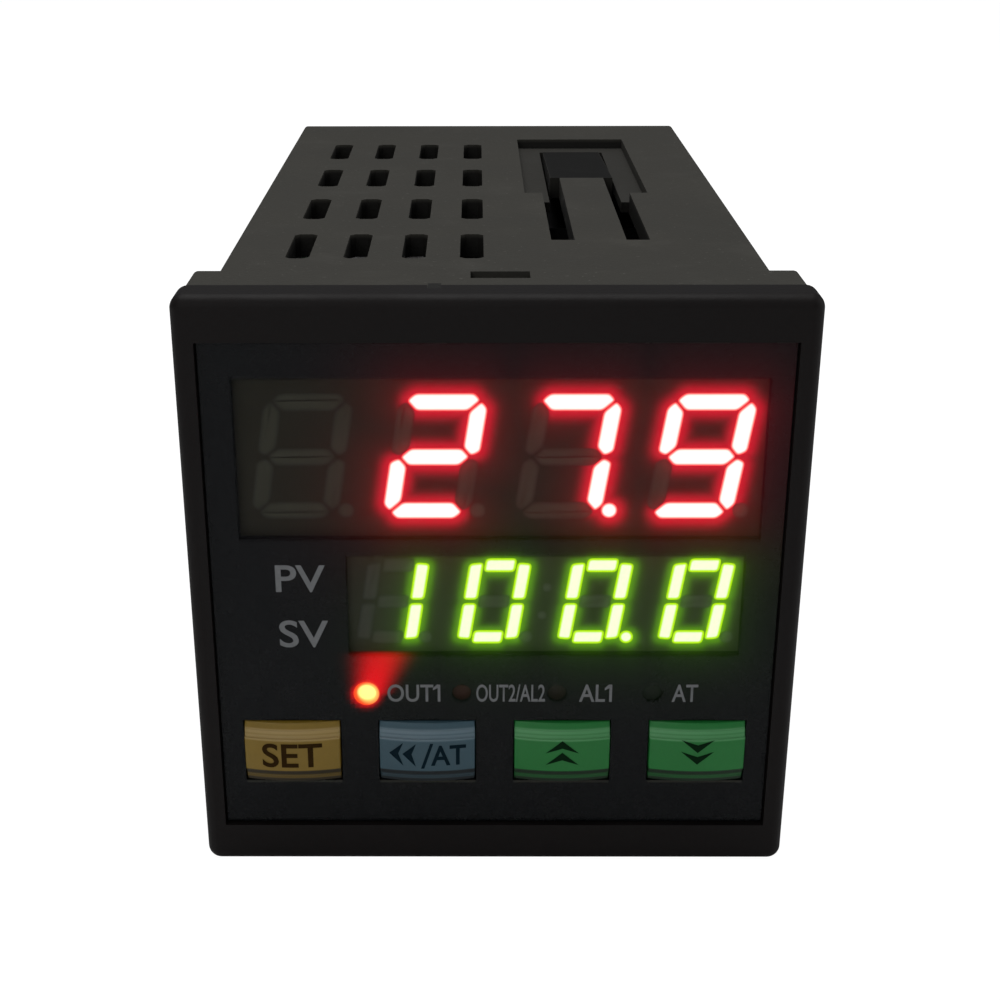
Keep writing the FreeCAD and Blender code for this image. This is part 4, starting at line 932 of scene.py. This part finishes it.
def key_plastic(name, tone):
    """Moulded key colour, with painted highlights along the upper ridges and painted shade along the lower
    ones.
    """
    finish = Finish(name)
    cloud = finish.noise(420.0, 4.0, 0.6)
    grain = finish.noise(5200.0, 1.0)
    colour = finish.between(cloud * 0.7 + grain * 0.3, toned(tone, 0.82), toned(tone, 1.14))
    height = finish.axes()[2]
    face_half = KEY_HEIGHT / 2 - 2 * TREAD
    top, bottom = KEY_Z + face_half, KEY_Z - face_half
    # Painted highlight: two pale bands along the upper treads, where the ridges catch the light.
    for middle in (top + 0.50, top + 0.08):
        wear_and_highlight = finish.within(height, middle * mm, 0.19 * mm, 0.10 * mm)
        colour = finish.between(wear_and_highlight, colour, tuple(p * 1.35 + 0.085 for p in tone))
    # Painted shade: the lower treads are made dark, with a less dark band between their lines.
    lower_shade = 1.0 - finish.ramp(height, (bottom + 0.05) * mm, (bottom + 0.17) * mm)
    lower_shade = lower_shade * (1.0 - finish.within(height, (bottom - 0.66) * mm, 0.22 * mm, 0.06 * mm) * 0.42)
    colour = finish.between(lower_shade, colour, toned(tone, 0.10))
    return finish.done({
        "Base Color": colour,
        "Roughness": 0.36 + cloud * 0.14,
        "Specular IOR Level": 0.38,
        "Normal": finish.bump(grain, 0.14, 0.00002),
    })


def ink(name, tone):
    """Matt printing ink."""
    finish = Finish(name)
    grain = finish.noise(2600.0, 2.0)
    return finish.done({
        "Base Color": finish.between(grain, toned(tone, 0.8), toned(tone, 1.2)),
        "Roughness": 0.55 + grain * 0.1,
        "Specular IOR Level": 0.05,
    })


def chevrons(name, middle, points, body, material):
    """Printed arrowheads and strokes from outlines on the crowned face."""
    build = bmesh.new()
    for outline in points:
        build.faces.new([build.verts.new((x, 0.0, z)) for x, z in outline])
    for cut in np.linspace(-3.0, 3.0, 25):
        bmesh.ops.bisect_plane(
            build, geom=build.verts[:] + build.edges[:] + build.faces[:],
            plane_co=(cut, 0, 0), plane_no=(1, 0, 0))
    for vert in build.verts:
        x, z = middle + vert.co.x, KEY_Z + vert.co.z
        vert.co = Vector((x, crown_y(x, middle, INK_LIFT), z)) * mm
    return show(name, shaped(name, build), material, body)


# The colour of each cap and of the ink on it.
KEY_TONES = {
    "set": ((0.240, 0.150, 0.016), (0.030, 0.014, 0.002)),
    "shift": ((0.046, 0.096, 0.124), (0.003, 0.013, 0.021)),
    "up": ((0.012, 0.190, 0.034), (0.002, 0.018, 0.005)),
    "down": ((0.012, 0.190, 0.034), (0.002, 0.018, 0.005)),
}
for (name, (tone, dark)), middle in zip(KEY_TONES.items(), KEY_X):
    body = name + "_button"
    cap = cap_mesh(name + "_cap", middle)
    show(name + "_cap", cap, key_plastic(name + "_plastic", tone), body, name + "_key")
    legend = ink(name + "_ink", dark)

    def on_cap(x, middle=middle):
        return crown_y(x, middle, INK_LIFT)

    if name == "set":
        lettering("set_word", "SET", middle - 2.45, middle + 2.45, KEY_Z - 1.06, KEY_Z + 1.14,
                  body, legend, 0.0, INK_WEIGHT, on_cap)
    elif name == "shift":
        shift_marks = [
            [(-3.10, 0.20), (-1.95, 1.18), (-2.36, 0.20), (-1.95, -0.90)],
            [(-2.02, 0.17), (-0.90, 1.13), (-1.27, 0.17), (-0.93, -0.95)],
            [(-0.52, -1.12), (-0.25, -1.12), (0.50, 1.17), (0.25, 1.17)]]
        chevrons("shift_arrows", middle, shift_marks, body, legend)
        lettering("shift_word", "AT", middle + 0.30, middle + 3.15, KEY_Z - 0.85, KEY_Z + 0.98,
                  body, legend, 0.0, INK_WEIGHT, on_cap)
    else:
        facing, lift = (1, 0.0) if name == "up" else (-1, 0.70)
        arrows = []
        for rise in (1.43, 0.36):
            arrows.append([(x, (z + rise) * facing + lift * (1 - facing) / 2) for x, z in (
                (0.0, 0.0), (1.35, -1.16), (0.0, -0.70), (-1.35, -1.16))])
        chevrons(name + "_arrows", middle, arrows, body, legend)


# Terminal block: black moulding at the rear with two columns of six screw terminals.
# Each pit holds a tinned brass plate, a square washer and a zinc-plated cross-head screw.

block_plastic = moulded("block_plastic", (0.030, 0.030, 0.031), grain=3000.0, depth=0.00004, rough=0.52)
block_mesh = smooth_copy("terminal_block", "terminal_moulding")
show("terminal_moulding", block_mesh, block_plastic, "case", "terminal_block")
nodes["terminal_contacts"].material_slots[0].material = plain_finish(
    "tinned_brass", (0.62, 0.50, 0.26), rough=0.30, metal=1.0, scale=900.0, spread=0.18)


def ring_solid(build, rings):
    """Join rings of points, all of one length, into a closed solid."""
    loops = [[build.verts.new(Vector(point) * mm) for point in ring] for ring in rings]
    bridge(build, loops)
    build.faces.new(loops[0][::-1])
    build.faces.new(loops[-1])


def screw_blank():
    """A pan head with a cross recess and its shank, about the washer's rear face."""
    build = bmesh.new()
    angles = np.linspace(0, 2 * math.pi, 48, endpoint=False)

    def circle(radius, y):
        return [(radius * math.cos(a), y, radius * math.sin(a)) for a in angles]

    def cross(y, reach, half_width):
        ring = []
        for a in angles:
            turned = (a + math.pi / 4) % (math.pi / 2) - math.pi / 4
            straight = min(reach, half_width / max(abs(math.sin(turned)), 1e-6))
            ring.append((straight * math.cos(a), y, straight * math.sin(a)))
        return ring

    ring_solid(build, [
        circle(1.5, -8.0), circle(1.5, 0.0), circle(2.32, 0.0), circle(2.4, 0.10), circle(2.4, 0.95),
        circle(2.28, 1.32), circle(1.98, 1.58), circle(1.72, 1.68), cross(1.70, 1.60, 0.45),
        cross(1.55, 1.52, 0.42), cross(0.75, 1.0, 0.34),
    ])
    return shaped("screw_blank", build, math.radians(36))


def washer_blank():
    """A square washer with chamfered edges, about its own front face."""
    build = bmesh.new()
    half_side = 2.6
    rings = []
    for y, grow in ((0.0, -0.08), (0.08, 0.0), (0.72, 0.0), (0.8, -0.08)):
        edge = half_side + grow
        rings.append([(edge, y, edge), (-edge, y, edge), (-edge, y, -edge), (edge, y, -edge)])
    ring_solid(build, rings)
    return shaped("washer_blank", build)


TERMINAL_ROWS, TERMINAL_PITCH, COLUMN_SPACING = 6, 6.55, 26.2
SCREW_Y, WASHER_Y, WASHER_TURN = 88.1, 87.3, 0.02


def terminal_grid():
    """A tree that sets a blank at each row of two columns of terminals, turned at random."""
    tree = bpy.data.node_groups.new("terminal_grid", "GeometryNodeTree")
    face = tree.interface
    face.new_socket("Geometry", in_out="INPUT", socket_type="NodeSocketGeometry")
    for name, kind in (
        ("Blank", "Object"), ("Rows", "Int"), ("Pitch", "Float"), ("Spacing", "Float"),
        ("Depth", "Float"), ("Turn", "Float"), ("Finish", "Material"),
    ):
        face.new_socket(name, in_out="INPUT", socket_type="NodeSocket" + kind)
    face.new_socket("Geometry", in_out="OUTPUT", socket_type="NodeSocketGeometry")

    def add(kind, inputs, **settings):
        made = tree.nodes.new(kind)
        for key, setting in settings.items():
            setattr(made, key, setting)
        for key, given in inputs.items():
            if isinstance(given, bpy.types.NodeSocket):
                tree.links.new(given, made.inputs[key])
            else:
                made.inputs[key].default_value = given
        return made.outputs

    given = add("NodeGroupInput", {})
    tall = add("ShaderNodeMath", {0: given["Rows"], 1: 1.0}, operation="SUBTRACT")[0]
    height = add("ShaderNodeMath", {0: tall, 1: given["Pitch"]}, operation="MULTIPLY")[0]
    grid = add("GeometryNodeMeshGrid", {
        "Size X": given["Spacing"], "Size Y": height, "Vertices X": 2, "Vertices Y": given["Rows"]})["Mesh"]
    stand = add("ShaderNodeCombineXYZ", {"Y": given["Depth"]})[0]
    upright = add("GeometryNodeTransform", {
        "Geometry": grid, "Translation": stand, "Rotation": (math.radians(90), 0.0, 0.0)})[0]
    blank = add("GeometryNodeObjectInfo", {"Object": given["Blank"]})["Geometry"]
    drift = add("FunctionNodeRandomValue", {
        2: add("ShaderNodeMath", {0: given["Turn"], 1: -1.0}, operation="MULTIPLY")[0],
        3: given["Turn"], "Seed": 7}, data_type="FLOAT")[1]
    spin = add("ShaderNodeCombineXYZ", {"Y": drift})[0]
    placed = add("GeometryNodeInstanceOnPoints", {"Points": upright, "Instance": blank, "Rotation": spin})[0]
    real = add("GeometryNodeRealizeInstances", {"Geometry": placed})[0]
    dressed = add("GeometryNodeSetMaterial", {"Geometry": real, "Material": given["Finish"]})[0]
    add("NodeGroupOutput", {"Geometry": dressed})
    return tree


zinc = plain_finish("zinc_steel", (0.60, 0.60, 0.58), rough=0.26, metal=1.0, scale=1200.0, spread=0.14)
grid_tree = terminal_grid()
for name, blank_mesh, depth, twist, stands_for in (
    ("terminal_screw_set", screw_blank(), SCREW_Y, math.pi, "terminal_screws"),
    ("terminal_washer_set", washer_blank(), WASHER_Y, WASHER_TURN, "terminal_washers"),
):
    blank = bpy.data.objects.new(name + "_blank", blank_mesh)
    scene.collection.objects.link(blank)
    holder = bpy.data.objects.new(name + "_grid", bpy.data.meshes.new(name + "_grid"))
    scene.collection.objects.link(holder)
    grid_step = holder.modifiers.new("grid", "NODES")
    grid_step.node_group = grid_tree
    sockets = {item.name: item.identifier for item in grid_tree.interface.items_tree
               if item.item_type == "SOCKET" and item.in_out == "INPUT"}
    for key, given in (
        ("Blank", blank), ("Rows", TERMINAL_ROWS), ("Pitch", TERMINAL_PITCH * mm),
        ("Spacing", COLUMN_SPACING * mm), ("Depth", depth * mm), ("Turn", twist), ("Finish", zinc),
    ):
        grid_step[sockets[key]] = given
    ready = bpy.context.evaluated_depsgraph_get()
    repeated = bpy.data.meshes.new_from_object(holder.evaluated_get(ready))
    repeated.name = name
    bpy.data.objects.remove(holder)
    bpy.data.objects.remove(blank)
    show(name, repeated, None, "case", stands_for)
